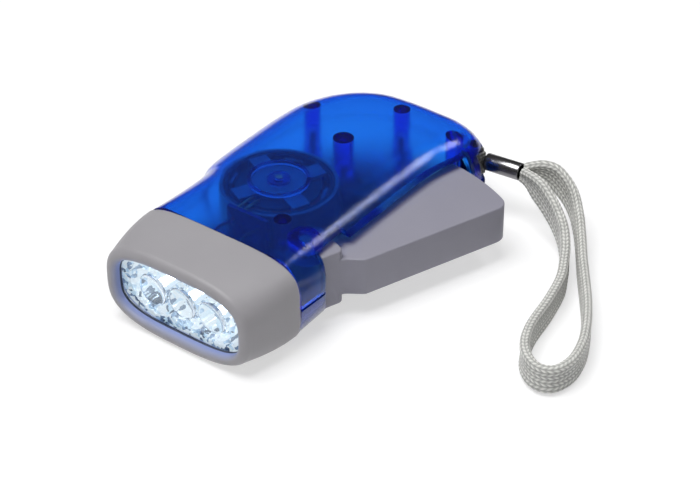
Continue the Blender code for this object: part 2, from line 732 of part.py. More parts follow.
def make_bezel(surfaces):
    """The grey bezel: a sleeve that narrows to a rounded lip, whose inner slope ends at the lens opening."""
    rings = []

    def ring(x, half_width, half_height, power, middle=SEAM_Z):
        rings.append(oblong_ring(FRONT_X + x, half_width, half_height, power, middle))

    run = BEZEL_LENGTH - BEZEL_LIP_ROUND
    for step in range(5, -1, -1):
        share = math.sin(math.pi / 2 * step / 5)
        half_width = BEZEL_FRONT_HALF_WIDTH + (BEZEL_HALF_WIDTH - BEZEL_FRONT_HALF_WIDTH) * share
        half_height = BEZEL_FRONT_HALF_HEIGHT + (BEZEL_HALF_HEIGHT - BEZEL_FRONT_HALF_HEIGHT) * share
        power = FRONT_POWER + (REAR_POWER - FRONT_POWER) * share
        ring(BEZEL_LIP_ROUND + run * step / 5, half_width, half_height, power, BEZEL_MIDDLE)
    for step in range(1, 4):
        angle = math.pi / 2 * step / 3
        inset = BEZEL_LIP_ROUND * (1 - math.cos(angle))
        x = BEZEL_LIP_ROUND * (1 - math.sin(angle))
        half_height = BEZEL_FRONT_HALF_HEIGHT - inset
        ring(x, BEZEL_FRONT_HALF_WIDTH - inset, half_height, FRONT_POWER, BEZEL_MIDDLE)
    for step in range(1, 4):
        angle = math.pi / 2 * step / 3
        left = 1 - math.sin(angle)
        half_width = OPENING_HALF_WIDTH + (LIP_SIDE - BEZEL_LIP_ROUND) * left
        half_height = OPENING_HALF_HEIGHT + (LIP_WIDTH - BEZEL_LIP_ROUND) * left
        middle = SEAM_Z + (BEZEL_MIDDLE - SEAM_Z) * left
        power = OPENING_POWER + (FRONT_POWER - OPENING_POWER) * left
        ring(LIP_FALL * (1 - math.cos(angle)), half_width, half_height, power, middle)
    ring(LIP_DEPTH, OPENING_HALF_WIDTH, OPENING_HALF_HEIGHT, OPENING_POWER)
    seat_half_width = OPENING_HALF_WIDTH + LENS_OVERLAP + GAP
    seat_half_height = OPENING_HALF_HEIGHT + LENS_OVERLAP + GAP
    ring(LIP_DEPTH, seat_half_width, seat_half_height, OPENING_POWER)
    ring(LIP_DEPTH + SEAT_LENGTH, seat_half_width, seat_half_height, OPENING_POWER)
    inner_half_width = spigot_half_width() + GAP
    inner_half_height = spigot_half_height() + GAP
    for x in (BEZEL_LENGTH - SPIGOT_LENGTH - GAP, BEZEL_LENGTH):
        rings.append(stadium_ring(FRONT_X + x, inner_half_width, inner_half_height))
    return finish(loft("bezel", rings, closed=True), "bezel", surfaces["grey_plastic"])


def lens_bead(front, place):
    """One convex bead on the window's front, before its lamp."""
    rings = []
    for x, radius in ((front + LENS_THICKNESS / 2, BEAD_RADIUS), (front, BEAD_RADIUS)):
        rings.append([(x, place + y, SEAM_Z + z) for y, z in circle((0, 0), radius)])
    for share in (0.55, 0.85, 0.98):
        radius = BEAD_RADIUS * math.sqrt(1 - share**2)
        rings.append([(front - BEAD_HEIGHT * share, place + y, SEAM_Z + z) for y, z in circle((0, 0), radius)])
    return loft("bead", rings)


def make_lens(surfaces):
    """The clear window behind the bezel's lip, with a convex bead before each lamp."""
    half_width = OPENING_HALF_WIDTH + LENS_OVERLAP
    half_height = OPENING_HALF_HEIGHT + LENS_OVERLAP
    front = FRONT_X + LIP_DEPTH + GAP
    rings = [oblong_ring(x, half_width, half_height, OPENING_POWER) for x in (front, front + LENS_THICKNESS)]
    lens = loft("lens", rings)
    for side in (-1, 0, 1):
        join(lens, lens_bead(front, side * LED_PITCH))
    return finish(lens, "lens", surfaces["clear_lens"])


def reflector_front():
    """Where the reflector's face starts."""
    return FRONT_X + LIP_DEPTH + GAP + LENS_THICKNESS + GAP


def led_cup(place):
    """A paraboloid cutter for one lamp's cup, opening to the front."""
    back = reflector_front() + REFLECTOR_DEPTH
    throat = LED_RADIUS + GAP
    mouth = OPENING_HALF_HEIGHT + LENS_OVERLAP - CUP_RIM
    rings = []
    for share in (-OVERRUN / REFLECTOR_DEPTH, 0.0, 0.06, 0.2, 0.42, 0.7, 1.0, 1.0 + OVERRUN / REFLECTOR_DEPTH):
        radius = throat + (mouth - throat) * math.sqrt(max(share, 0.0))
        x = back - REFLECTOR_DEPTH * share
        rings.append([(x, place + y, SEAM_Z + z) for y, z in circle((0, 0), radius)])
    return loft("cup", rings)


def make_reflector(surfaces):
    """The chromed tray with three cups that run into each other."""
    front = reflector_front()
    half_width = OPENING_HALF_WIDTH + LENS_OVERLAP
    half_height = OPENING_HALF_HEIGHT + LENS_OVERLAP
    collar_depth = SHELL_FRONT_X - SPIGOT_LENGTH - front
    collar_half_width = half_width - REFLECTOR_FLANGE * 2
    collar_half_height = spigot_half_height() - SPIGOT_WALL - REFLECTOR_CLEARANCE
    back_half_width = LED_PITCH + LED_RADIUS + REFLECTOR_FLANGE * 2
    back_half_height = LED_RADIUS + REFLECTOR_FLANGE * 2
    rings = [oblong_ring(front + x, half_width, half_height, OPENING_POWER) for x in (0.0, REFLECTOR_FLANGE)]
    rings.append(stadium_ring(front + collar_depth, collar_half_width, collar_half_height))
    rings.append(stadium_ring(front + REFLECTOR_DEPTH, back_half_width, back_half_height))
    tray = loft("tray", rings)
    for side in (-1, 0, 1):
        cut(tray, led_cup(side * LED_PITCH))
    return finish(tray, "reflector", surfaces["chrome"])


def led_board_x():
    """The front face of the lamps' board."""
    return reflector_front() + REFLECTOR_DEPTH + LED_FLANGE_HEIGHT + 2 * GAP


def make_leds(surfaces):
    """Three round lamps with domed tips, one mesh shared by three objects."""
    dome = LED_LENGTH - LED_RADIUS
    profile = [(LED_FLANGE_RADIUS, 0.0), (LED_FLANGE_RADIUS, LED_FLANGE_HEIGHT), (LED_RADIUS, LED_FLANGE_HEIGHT)]
    for step in range(4):
        angle = math.pi / 2 * step / 4
        profile.append((LED_RADIUS * math.cos(angle), dome + LED_RADIUS * math.sin(angle)))
    rings = [[(-height, y, z) for y, z in circle((0, 0), radius, LED_STEPS)] for radius, height in profile]
    first = finish(loft("lamp", rings), "led_middle", surfaces["lamp"])
    lamps = [first]
    for name in ("led_near", "led_far"):
        copy = bpy.data.objects.new(name, first.data)
        bpy.context.collection.objects.link(copy)
        lamps.append(copy)
    for lamp, side in zip(lamps, (0, -1, 1)):
        lamp.location = (led_board_x() - GAP, side * LED_PITCH, SEAM_Z)
    return lamps


def led_board_half_height():
    """Half the height of the lamps' board, inside the collar."""
    return spigot_half_height() - SPIGOT_WALL - LED_BOARD_CLEARANCE


def make_led_board(surfaces):
    """The board that carries the three lamps, held in the collar."""
    front = led_board_x()
    half_height = led_board_half_height()
    low = (front, -LED_BOARD_HALF_WIDTH, SEAM_Z - half_height)
    high = (front + BOARD_THICKNESS, LED_BOARD_HALF_WIDTH, SEAM_Z + half_height)
    return finish(box("board", low, high), "led_board", surfaces["board"])


def make_power_board(surfaces):
    """The upright charging board behind the head, with its rectifier and store parts fused on."""
    middle = POWER_BOARD_MIDDLE
    half = POWER_BOARD_WIDTH / 2
    low = (POWER_BOARD_X, middle - half, FLOOR_Z + GAP)
    high = (POWER_BOARD_X + BOARD_THICKNESS, middle + half, CEILING_Z - GAP)
    board = box("board", low, high)
    part = BOARD_THICKNESS * 2
    for column in (-1, 1):
        centre_y = middle + column * half / 2
        corner_low = (POWER_BOARD_X - part / 2, centre_y - part / 2, SEAM_Z + part)
        corner_high = (POWER_BOARD_X + BOARD_THICKNESS / 2, centre_y + part / 2, SEAM_Z + part * 2)
        join(board, box("diode", corner_low, corner_high))
    return finish(board, "power_board", surfaces["board"])


def make_cells(surfaces):
    """A sleeve of button cells lying across the head behind the lamps."""
    edge = GAP * 2
    room_end = POWER_BOARD_X - edge
    room = room_end - led_board_x() - BOARD_THICKNESS - CELL_CLEARANCE
    cell_radius = min(room / 2, CELL_LEVEL - CELL_REST)
    profile = []
    for index in range(CELL_COUNT):
        start = index * CELL_HEIGHT
        profile += [(cell_radius - edge, start), (cell_radius, start + edge)]
        profile.append((cell_radius, start + CELL_HEIGHT - edge))
    centre_x = room_end - cell_radius
    centre_z = FLOOR_Z + CELL_LEVEL
    rings = []
    for radius, height in profile:
        ring = [(centre_x + x, CELL_START + height, centre_z + z) for x, z in circle((0, 0), radius)]
        rings.append(ring)
    return finish(loft("cells", rings), "button_cells", surfaces["cell_green"])


# Lever

def from_pivot(points):
    """Places measured from the pivot with the lever closed, in the torch's frame."""
    return [(LEVER_PIVOT.x + u, LEVER_PIVOT.y + w) for u, w in points]


def lever_outline():
    """The squeeze lever's paddle seen from above, closed: face, ramp, rounded tail corner and tail arc."""
    face_end = math.sqrt(LEVER_RADIUS**2 - LEVER_FACE**2)
    corner_start = (face_end - LEVER_CORNER, -LEVER_FACE)
    arc_start = -math.asin(LEVER_FACE / LEVER_RADIUS) + LEVER_CORNER / LEVER_RADIUS
    first = (LEVER_RADIUS * math.cos(arc_start), LEVER_RADIUS * math.sin(arc_start))
    corner = (face_end, -LEVER_FACE)
    rounding = []
    for t in (0.0, 0.25, 0.5, 0.75):
        u = (1 - t)**2 * corner_start[0] + 2 * t * (1 - t) * corner[0] + t**2 * first[0]
        w = (1 - t)**2 * corner_start[1] + 2 * t * (1 - t) * corner[1] + t**2 * first[1]
        rounding.append((u, w))
    ramp_start = (HUB_BACK - HUB_CORNER, -HUB_FACE)
    step = LEVER_FACE - HUB_FACE
    ramp_middle = ((ramp_start[0] + RAMP_END) / 2, -HUB_FACE - step * 0.6)
    points = [(HUB_BACK / 2, -HUB_FACE + GAP), ramp_start, ramp_middle, (RAMP_END, -LEVER_FACE)]
    points += rounding
    points += arc((0, 0), LEVER_RADIUS, arc_start, LEVER_INNER_ANGLE, 7)
    inner_start = HUB_BACK / math.cos(LEVER_INNER_ANGLE)
    points.append((inner_start * math.cos(LEVER_INNER_ANGLE), inner_start * math.sin(LEVER_INNER_ANGLE)))
    points.append((HUB_BACK / 2, HUB_INNER / 2))
    return from_pivot(points)


def hub_outline():
    """The block at the lever's pivot, square to the face and rounded at its corners."""
    points = []
    corners = (
        (HUB_BACK - HUB_CORNER, HUB_INNER - HUB_CORNER, 0),
        (HUB_FRONT + HUB_CORNER, HUB_INNER - HUB_CORNER, 1),
        (HUB_FRONT + GAP, GAP - HUB_FACE, 2),
        (HUB_BACK - HUB_CORNER, HUB_CORNER - HUB_FACE, 3),
    )
    for u, w, turn in corners:
        radius = GAP if turn == 2 else HUB_CORNER
        points += arc((u, w), radius, turn * math.pi / 2, (turn + 1) * math.pi / 2, 3)
    return from_pivot(points)


def sector_outline():
    """The toothed arc that the lever carries into the body."""
    pitch_radius = LEVER_MODULE * SECTOR_CIRCLE_TEETH / 2
    root = pitch_radius - LEVER_MODULE
    foot = LEVER_FACE - LEVER_WALL / 2
    tooth_angle = 2 * math.pi / SECTOR_CIRCLE_TEETH
    meshing = direction_angle(LEVER_PIVOT, STEP_GEAR) + LEVER_TRAVEL
    first_tooth = -math.ceil(LEVER_TRAVEL / tooth_angle) - 1
    points = arc((0, 0), root, -math.asin(foot / root), meshing + (first_tooth - 0.5) * tooth_angle, 8)
    for index in range(first_tooth, 2):
        points += tooth_points(SECTOR_CIRCLE_TEETH, LEVER_MODULE, meshing + index * tooth_angle, root)
    end_angle = meshing + 1.5 * tooth_angle
    points += arc((0, 0), root, end_angle, end_angle, 1)[:1]
    inner = pitch_radius - SECTOR_WIDTH
    points += arc((0, 0), inner, end_angle, -math.asin(foot / inner), 12)
    return from_pivot(points)


def make_lever(surfaces):
    """The squeeze lever: a channel-shaped paddle, its pivot block and the toothed arc."""
    half = LEVER_HEIGHT / 2
    lever = prism("paddle", lever_outline(), SEAM_Z - half, SEAM_Z + half)
    hub_half = HUB_HEIGHT / 2
    join(lever, prism("hub", hub_outline(), SEAM_Z - hub_half, SEAM_Z + hub_half))
    knuckle_half = KNUCKLE_HEIGHT / 2
    join(lever, disc("knuckle", LEVER_PIVOT, KNUCKLE_RADIUS, SEAM_Z - knuckle_half, SEAM_Z + knuckle_half))
    inside = LEVER_RADIUS - LEVER_WALL
    wall_line = LEVER_WALL - LEVER_FACE
    start = math.asin(wall_line / inside)
    hollow = [(RAMP_END + LEVER_WALL, wall_line), *arc((0, 0), inside, start, LEVER_INNER_ANGLE * 1.2, 7)]
    hollow.append((RAMP_END + LEVER_WALL, HUB_INNER + LEVER_WALL))
    clear = half - LEVER_WALL
    cut(lever, prism("hollow", from_pivot(hollow), SEAM_Z - clear, SEAM_Z + clear))
    join(lever, prism("sector", sector_outline(), *[level_of(share) for share in SECTOR_SHARES]))
    pocket_half = SPRING_POCKET_HEIGHT / 2
    pocket_radius = SPRING_COIL_RADIUS + SPRING_WIRE
    low = SEAM_Z - pocket_half
    high = SEAM_Z + pocket_half
    cut(lever, disc("pocket", LEVER_PIVOT, pocket_radius, low, high))
    x, y = LEVER_PIVOT
    mouth_low = (x - KNUCKLE_RADIUS - OVERRUN, y, low)
    mouth_high = (x + pocket_radius, y + HUB_INNER + OVERRUN, high)
    cut(lever, box("mouth", mouth_low, mouth_high))
    leg_low = (x, y - SPRING_COIL_RADIUS - SPRING_WIRE, low)
    leg_high = (x + RAMP_END + LEVER_WALL + OVERRUN, y - SPRING_COIL_RADIUS + SPRING_WIRE, high)
    cut(lever, box("leg_way", leg_low, leg_high))
    cut(lever, disc("bore", LEVER_PIVOT, PIN_RADIUS + GAP, SEAM_Z - hub_half - OVERRUN, SEAM_Z + hub_half + OVERRUN))
    return turn_about(finish(lever, "lever", surfaces["grey_plastic"]), LEVER_PIVOT, -LEVER_TRAVEL)


def make_pivot_pin(surfaces):
    """The steel pin through both shells' bosses and the lever."""
    pin = disc("pin", LEVER_PIVOT, PIN_RADIUS, PIN_END, BODY_HEIGHT - PIN_END)
    return finish(pin, "lever_pin", surfaces["steel"])


def tube(name, points, radius, surface, sides=1):
    """A round wire along a list of points."""
    path = bpy.data.curves.new(name, "CURVE")
    path.dimensions = "3D"
    path.bevel_depth = radius
    path.bevel_resolution = sides
    path.use_fill_caps = True
    run = path.splines.new("POLY")
    run.points.add(len(points) - 1)
    for target, point in zip(run.points, points):
        target.co = (*point, 1)
    path.materials.append(surface)
    item = bpy.data.objects.new(name, path)
    bpy.context.collection.objects.link(item)
    return item


def spring_points():
    """The torsion spring's wire, about its own axis: one leg, the coil and the other leg."""
    bottom = -SPRING_TURNS * SPRING_PITCH / 2
    reach = RAMP_END + LEVER_WALL
    points = [(reach * share, -SPRING_COIL_RADIUS, bottom) for share in (1.0, 0.6, 0.2)]
    wound = 2 * math.pi * SPRING_TURNS + SPRING_END_ANGLE
    steps = round(wound / (math.pi / 5))
    for index in range(steps + 1):
        turned_by = wound * index / steps
        angle = -math.pi / 2 - turned_by
        height = bottom + SPRING_PITCH * turned_by / (2 * math.pi)
        points.append((SPRING_COIL_RADIUS * math.cos(angle), SPRING_COIL_RADIUS * math.sin(angle), height))
    x, y, z = points[-1]
    heading = Vector((math.sin(angle), -math.cos(angle)))
    points += [(x + heading.x * SPRING_LEG * share, y + heading.y * SPRING_LEG * share, z) for share in (0.5, 1.0)]
    return points


def least_gap(points, width, skip):
    """The least clear distance between stretches of a wire that are not neighbours."""
    best = math.inf
    for i, first in enumerate(points):
        for second in points[i + skip:]:
            best = min(best, (Vector(first) - Vector(second)).length - width)
    return best


def make_return_spring(surfaces):
    """The torsion spring round the pivot pin that pushes the lever open."""
    points = spring_points()
    print("return spring least gap to itself, m:", round(least_gap(points, SPRING_WIRE, 6), 6))
    spring = tube("return_spring", points, SPRING_WIRE / 2, surfaces["spring_steel"])
    spring.location = (*LEVER_PIVOT, SEAM_Z)
    spring.rotation_euler.z = -LEVER_TRAVEL
    return spring


# Gears

def involute(angle):
    """The involute of an angle."""
    return math.tan(angle) - angle


def tooth_points(teeth, module, centre_angle, root):
    """One tooth's flanks, from root to tip and back, about a gear's centre."""
    pitch_radius = module * teeth / 2
    base = pitch_radius * math.cos(PRESSURE_ANGLE)
    tip = pitch_radius + module * 0.9
    half_pitch = math.pi / (2 * teeth) - BACKLASH / (2 * pitch_radius)

    def half_angle(radius):
        reach = max(radius, base)
        return half_pitch + involute(PRESSURE_ANGLE) - involute(math.acos(base / reach))

    radii = (root, pitch_radius, tip)
    rising = [(r, centre_angle - half_angle(r)) for r in radii]
    falling = [(r, centre_angle + half_angle(r)) for r in reversed(radii)]
    return [(r * math.cos(a), r * math.sin(a)) for r, a in rising + falling]


def gear_outline(teeth, module, phase, centre):
    """A whole gear's outline with one tooth at the phase angle."""
    root = module * teeth / 2 - module * 1.2
    points = []
    for index in range(teeth):
        points += tooth_points(teeth, module, phase + 2 * math.pi * index / teeth, root)
    return [(centre[0] + x, centre[1] + y) for x, y in points]


def direction_angle(start, end):
    """The angle of the line from one place to another."""
    way = end - start
    return math.atan2(way.y, way.x)


def gap_facing(teeth, angle):
    """A phase that puts a tooth gap in the given direction."""
    return angle + math.pi / teeth


def ratchet_place():
    """Axle of the ratchet pinion, in mesh with both the step wheel and the flywheel's pinion."""
    to_start = TRAIN_MODULE * (STEP_WHEEL_TEETH + PINION_TEETH) / 2
    to_generator = TRAIN_MODULE * (RATCHET_WHEEL_TEETH + PINION_TEETH) / 2
    way = STEP_GEAR - GENERATOR
    span = way.length
    along = (to_generator**2 - to_start**2 + span**2) / (2 * span)
    off = math.sqrt(max(to_generator**2 - along**2, 0.0))
    unit = way / span
    return GENERATOR + unit * along + Vector((-unit.y, unit.x)) * off


def step_wheel_bottom():
    """Underside of the step gear's wheel."""
    return level_of(STEP_WHEEL_SHARES[0])


def step_wheel_top():
    """Top face of the step gear's wheel."""
    return level_of(STEP_WHEEL_SHARES[1])


def ratchet_wheel_bottom():
    """Underside of the ratchet wheel's rim."""
    return level_of(RATCHET_WHEEL_SHARES[0])


def flywheel_pinion_bottom():
    """Underside of the flywheel's pinion."""
    return ratchet_wheel_bottom() - GAP


def step_pinion_bottom():
    """Underside of the step gear's pinion."""
    return level_of(SECTOR_SHARES[0]) - 3 * GAP / 2


def step_post_end():
    """Lower end of the post that holds the step gear's axle."""
    return step_pinion_bottom() + PINION_WIDTH + 2 * GAP


def ratchet_wheel_top():
    """Top face of the ratchet wheel."""
    return level_of(RATCHET_WHEEL_SHARES[1])


def ratchet_web_bottom():
    """Underside of the ratchet wheel's web."""
    return ratchet_wheel_top() - RATCHET_WEB


def make_step_gear(surfaces):
    """Large wheel and small pinion on one hub, driven by the lever's arc."""
    place = STEP_GEAR
    bottom = step_wheel_bottom()
    face = step_wheel_top()
    wheel_phase = direction_angle(place, ratchet_place())
    gear = prism("wheel", gear_outline(STEP_WHEEL_TEETH, TRAIN_MODULE, wheel_phase, place), bottom, face)
    dish = TRAIN_MODULE * STEP_WHEEL_TEETH / 2 - TRAIN_MODULE * 3
    hub = AXLE_RADIUS + RUNNING_FIT + SHELL_WALL
    floor = face - (face - bottom) / 3
    step = hub + 2 * GAP
    profile = [(dish, floor), (dish, face + OVERRUN), (step, face + OVERRUN), (step, floor)]
    cut(gear, turned("dish", profile, place))
    join(gear, disc("hub", place, hub, (bottom + face) / 2, step_pinion_bottom() + GAP))
    pinion_phase = gap_facing(PINION_TEETH, direction_angle(place, LEVER_PIVOT))
    pinion = gear_outline(PINION_TEETH, LEVER_MODULE, pinion_phase, place)
    join(gear, prism("pinion", pinion, step_pinion_bottom(), step_pinion_bottom() + PINION_WIDTH))
    cut(gear, disc("bore", place, AXLE_RADIUS + RUNNING_FIT, bottom - OVERRUN, step_post_end() + OVERRUN, END_STEPS))
    return turn_about(finish(gear, "step_gear", surfaces["gear_white"]), place, 0.0)


def make_axle(name, place, low, high, surface):
    """A plain steel axle."""
    return finish(disc(name, place, AXLE_RADIUS, low, high, END_STEPS), name, surface)


def ratchet_phase():
    """Angle of the ratchet pinion's gap towards the step wheel's tooth."""
    return gap_facing(PINION_TEETH, direction_angle(ratchet_place(), STEP_GEAR))


def pawl_pivot():
    """Place of the pawl's pin on the carrier."""
    return ratchet_place() + Vector((PAWL_PIVOT_RADIUS, 0))


def carrier_bottom():
    """Underside of the pawl carrier, on top of the ratchet pinion."""
    return step_wheel_top() + 2 * GAP


def make_ratchet_pinion(surfaces):
    """The pinion that the step wheel drives, with the pawl's carrier disc and pin."""
    place = ratchet_place()
    bottom = step_wheel_bottom()
    outline_points = gear_outline(PINION_TEETH, TRAIN_MODULE, ratchet_phase(), place)
    gear = prism("pinion", outline_points, bottom, carrier_bottom() + GAP)
    top = carrier_bottom() + CARRIER_THICKNESS
    join(gear, disc("carrier", place, CARRIER_RADIUS, carrier_bottom(), top))
    hub_top = ratchet_web_bottom() - GAP
    join(gear, disc("hub", place, AXLE_RADIUS + RUNNING_FIT + CARRIER_THICKNESS, top - GAP, hub_top))
    join(gear, disc("pin", pawl_pivot(), PAWL_PIN_RADIUS, top - GAP, hub_top, 8))
    cut(gear, disc("bore", place, AXLE_RADIUS + RUNNING_FIT, bottom - OVERRUN, hub_top + OVERRUN, END_STEPS))
    return turn_about(finish(gear, "ratchet_pinion", surfaces["gear_white"]), place, 0.0)


def make_pawl(surfaces):
    """The little pawl on the carrier, drawn in the lifted place."""
    pivot = pawl_pivot()
    bottom = carrier_bottom() + CARRIER_THICKNESS + GAP
    eye = arc(pivot, PAWL_EYE_RADIUS, math.pi, 2 * math.pi, 6)
    tip_out = (pivot.x + PAWL_LIFT, pivot.y + PAWL_LENGTH)
    tip_in = (pivot.x + PAWL_LIFT - PAWL_EYE_RADIUS * 0.6, pivot.y + PAWL_LENGTH - PAWL_LIFT / 3)
    outer = (pivot.x + PAWL_EYE_RADIUS * 0.9, pivot.y + PAWL_LENGTH / 2)
    inner = (pivot.x - PAWL_EYE_RADIUS * 0.5, pivot.y + PAWL_LENGTH / 2)
    top = ratchet_web_bottom() - GAP
    pawl = prism("pawl", [*eye, outer, tip_out, tip_in, inner], bottom, top)
    hole = disc("hole", pivot, PAWL_PIN_RADIUS + GAP / 2, bottom - OVERRUN, top + OVERRUN, 8)
    return turn_about(finish(cut(pawl, hole), "ratchet_pawl", surfaces["spring_steel"]), pivot, 0.0)


def make_ratchet_wheel(surfaces):
    """The wheel that the pawl drives: teeth outside, a saw-toothed well inside, a web on top."""
    place = ratchet_place()
    bottom = ratchet_wheel_bottom()
    top = ratchet_wheel_top()
    phase = direction_angle(place, GENERATOR)
    wheel = prism("wheel", gear_outline(RATCHET_WHEEL_TEETH, TRAIN_MODULE, phase, place), bottom, top)
    pitch = 2 * math.pi / RATCHET_TEETH
    tip_angle = math.atan2(PAWL_LENGTH, PAWL_PIVOT_RADIUS + PAWL_LIFT)
    wall_angle = tip_angle + pitch / 8
    well = []
    for index in range(RATCHET_TEETH):
        start = wall_angle + index * pitch
        for share in (0.0, 0.5, 1.0):
            radius = RATCHET_TIP_RADIUS + (RATCHET_ROOT_RADIUS - RATCHET_TIP_RADIUS) * share
            angle = start + pitch * share * 0.98
            well.append((place.x + radius * math.cos(angle), place.y + radius * math.sin(angle)))
    cut(wheel, prism("well", well, bottom - OVERRUN, ratchet_web_bottom()))
    cut(wheel, disc("bore", place, AXLE_RADIUS + RUNNING_FIT, bottom, top + OVERRUN, END_STEPS))
    return turn_about(finish(wheel, "ratchet_wheel", surfaces["gear_white"]), place, 0.0)


def make_ratchet_axle(surfaces):
    """The ratchet's axle with the head that keeps the wheel on it."""
    place = ratchet_place()
    low = FLOOR_Z / 2 + GAP
    top = ratchet_wheel_top() + GAP
    axle = disc("axle", place, AXLE_RADIUS, low, top + GAP, END_STEPS)
    join(axle, disc("head", place, AXLE_RADIUS + CARRIER_THICKNESS, top, top + GAP, END_STEPS))
    return finish(axle, "ratchet_axle", surfaces["steel"])


# Generator

def magnet_outer():
    """Outer radius of the ring magnet, inside the flywheel's rim."""
    return FLYWHEEL_RADIUS - FLYWHEEL_RIM - GAP


def stator_top():
    """Top face of the upper claw plate, under the shell's rib."""
    return CEILING_Z - RIB_DEPTH - GAP


def stator_bottom():
    """Underside of the lower claw plate."""
    return FLYWHEEL_BOTTOM + FLYWHEEL_WEB + STATOR_CLEARANCE


def make_flywheel(surfaces):
    """The cup-shaped flywheel on the generator's axle."""
    bottom = FLYWHEEL_BOTTOM
    web_top = bottom + FLYWHEEL_WEB
    rim_top = stator_top() - GAP
    bore = AXLE_RADIUS + RUNNING_FIT
    hub = bore + SHELL_WALL
    rim = FLYWHEEL_RADIUS - FLYWHEEL_RIM
    profile = [
        (bore, bottom), (FLYWHEEL_RADIUS, bottom), (FLYWHEEL_RADIUS, rim_top), (rim, rim_top),
        (rim, web_top), (bore, web_top),
    ]
    wheel = turned("flywheel", profile, GENERATOR, ROUND_STEPS * 2)
    hole_radius = (rim - hub) / 5
    for index in range(5):
        angle = 2 * math.pi * index / 5
        place = GENERATOR + Vector((math.cos(angle), math.sin(angle))) * (rim + hub) / 2
        cut(wheel, disc("hole", place, hole_radius, bottom - OVERRUN, web_top + OVERRUN, END_STEPS))
    return turn_about(finish(wheel, "flywheel", surfaces["steel"]), GENERATOR, 0.0)


def flywheel_pinion_top():
    """Top face of the flywheel's pinion."""
    return flywheel_pinion_bottom() + PINION_WIDTH


def make_flywheel_pinion(surfaces):
    """The flywheel's pinion, meshing with the ratchet wheel, and its shoulder under the flywheel."""
    phase = gap_facing(PINION_TEETH, direction_angle(GENERATOR, ratchet_place()))
    points = gear_outline(PINION_TEETH, TRAIN_MODULE, phase, GENERATOR)
    gear = prism("pinion", points, flywheel_pinion_bottom(), flywheel_pinion_top())
    radius = AXLE_RADIUS + RUNNING_FIT
    join(gear, disc("shoulder", GENERATOR, radius + SHELL_WALL, flywheel_pinion_top() - GAP, FLYWHEEL_BOTTOM - GAP))
    bore = disc("bore", GENERATOR, radius, 0.0, FLYWHEEL_BOTTOM + OVERRUN, END_STEPS)
    return turn_about(finish(cut(gear, bore), "flywheel_pinion", surfaces["gear_white"]), GENERATOR, 0.0)


def make_magnet(surfaces):
    """The ring magnet inside the flywheel's rim."""
    bottom = FLYWHEEL_BOTTOM + FLYWHEEL_WEB + GAP
    top = stator_top() - 2 * GAP
    inner = magnet_outer() - MAGNET_WALL
    profile = [(inner, bottom), (magnet_outer(), bottom), (magnet_outer(), top), (inner, top)]
    ring = turned("magnet", profile, GENERATOR, ROUND_STEPS * 2)
    return turn_about(finish(ring, "ring_magnet", surfaces["magnet"]), GENERATOR, 0.0)


def claw_plate(name, flat_bottom, claw_bottom, claw_top, turn, core=None):
    """A steel plate with four arms whose ends are bent over the coil."""
    flat_top = flat_bottom + PLATE_THICKNESS
    middle = RIB_RADIUS - RIB_WIDTH
    plate = disc(name, (0, 0), middle, flat_bottom, flat_top)
    half = CLAW_WIDTH / 2
    inner = CLAW_RADIUS - PLATE_THICKNESS
    for index in range(2):
        low = (-CLAW_RADIUS, -half, flat_bottom)
        high = (CLAW_RADIUS, half, flat_top)
        arm = box("arm", low, high)
        for side in (-1, 1):
            start, end = ordered(side * inner, side * CLAW_RADIUS)
            join(arm, box("claw", (start, -half, claw_bottom), (end, half, claw_top)))
        arm.rotation_euler.z = math.pi / 2 * index
        join(plate, arm)
    if core:
        join(plate, disc("core", (0, 0), CORE_RADIUS, core, flat_bottom + PLATE_THICKNESS / 2))
    hole_top = flat_top + OVERRUN
    hole_bottom = (core or flat_bottom) - OVERRUN
    cut(plate, disc("bore", (0, 0), AXLE_RADIUS + RUNNING_FIT, hole_bottom, hole_top, END_STEPS))
    plate.location = (GENERATOR.x, GENERATOR.y, 0)
    plate.rotation_euler.z = turn
    return plate


def make_stator(surfaces):
    """The two claw plates that close round the coil."""
    top = stator_top()
    bottom = stator_bottom()
    tip_gap = PLATE_THICKNESS + 2 * GAP
    turn = math.radians(65)
    core = bottom + PLATE_THICKNESS + GAP
    upper = claw_plate("plate", top - PLATE_THICKNESS, bottom + tip_gap, top, turn, core)
    lower = claw_plate("plate", bottom, bottom, top - tip_gap, turn + math.pi / 4)
    return [
        finish(upper, "claw_plate_upper", surfaces["iron"]),
        finish(lower, "claw_plate_lower", surfaces["iron"]),
    ]


def make_bobbin(surfaces):
    """The plastic bobbin on the stator's core."""
    low = stator_bottom() + PLATE_THICKNESS + GAP
    high = stator_top() - PLATE_THICKNESS - GAP
    bore = CORE_RADIUS + GAP
    tube_radius = bore + PLATE_THICKNESS
    flange = PLATE_THICKNESS * 0.75
    profile = [
        (bore, low), (BOBBIN_RADIUS, low), (BOBBIN_RADIUS, low + flange), (tube_radius, low + flange),
        (tube_radius, high - flange), (BOBBIN_RADIUS, high - flange), (BOBBIN_RADIUS, high), (bore, high),
    ]
    bobbin = turned("bobbin", profile, GENERATOR)
    return finish(bobbin, "coil_bobbin", surfaces["bobbin_black"])


def make_coil(surfaces):
    """The copper winding between the bobbin's flanges."""
    flange = PLATE_THICKNESS * 0.75
    low = stator_bottom() + PLATE_THICKNESS + 2 * GAP + flange
    high = stator_top() - PLATE_THICKNESS - 2 * GAP - flange
    inner = CORE_RADIUS + PLATE_THICKNESS + 2 * GAP
    outer = BOBBIN_RADIUS - GAP
    profile = [(inner, low)]
    grooves = 5
    for index in range(grooves):
        start = low + (high - low) * index / grooves
        end = low + (high - low) * (index + 1) / grooves
        profile += [(outer - GAP, start), (outer, (start + end) / 2)]
    profile += [(outer - GAP, high), (inner, high)]
    return finish(turned("coil", profile, GENERATOR), "coil_winding", surfaces["copper"])


# Fasteners, wires and strap

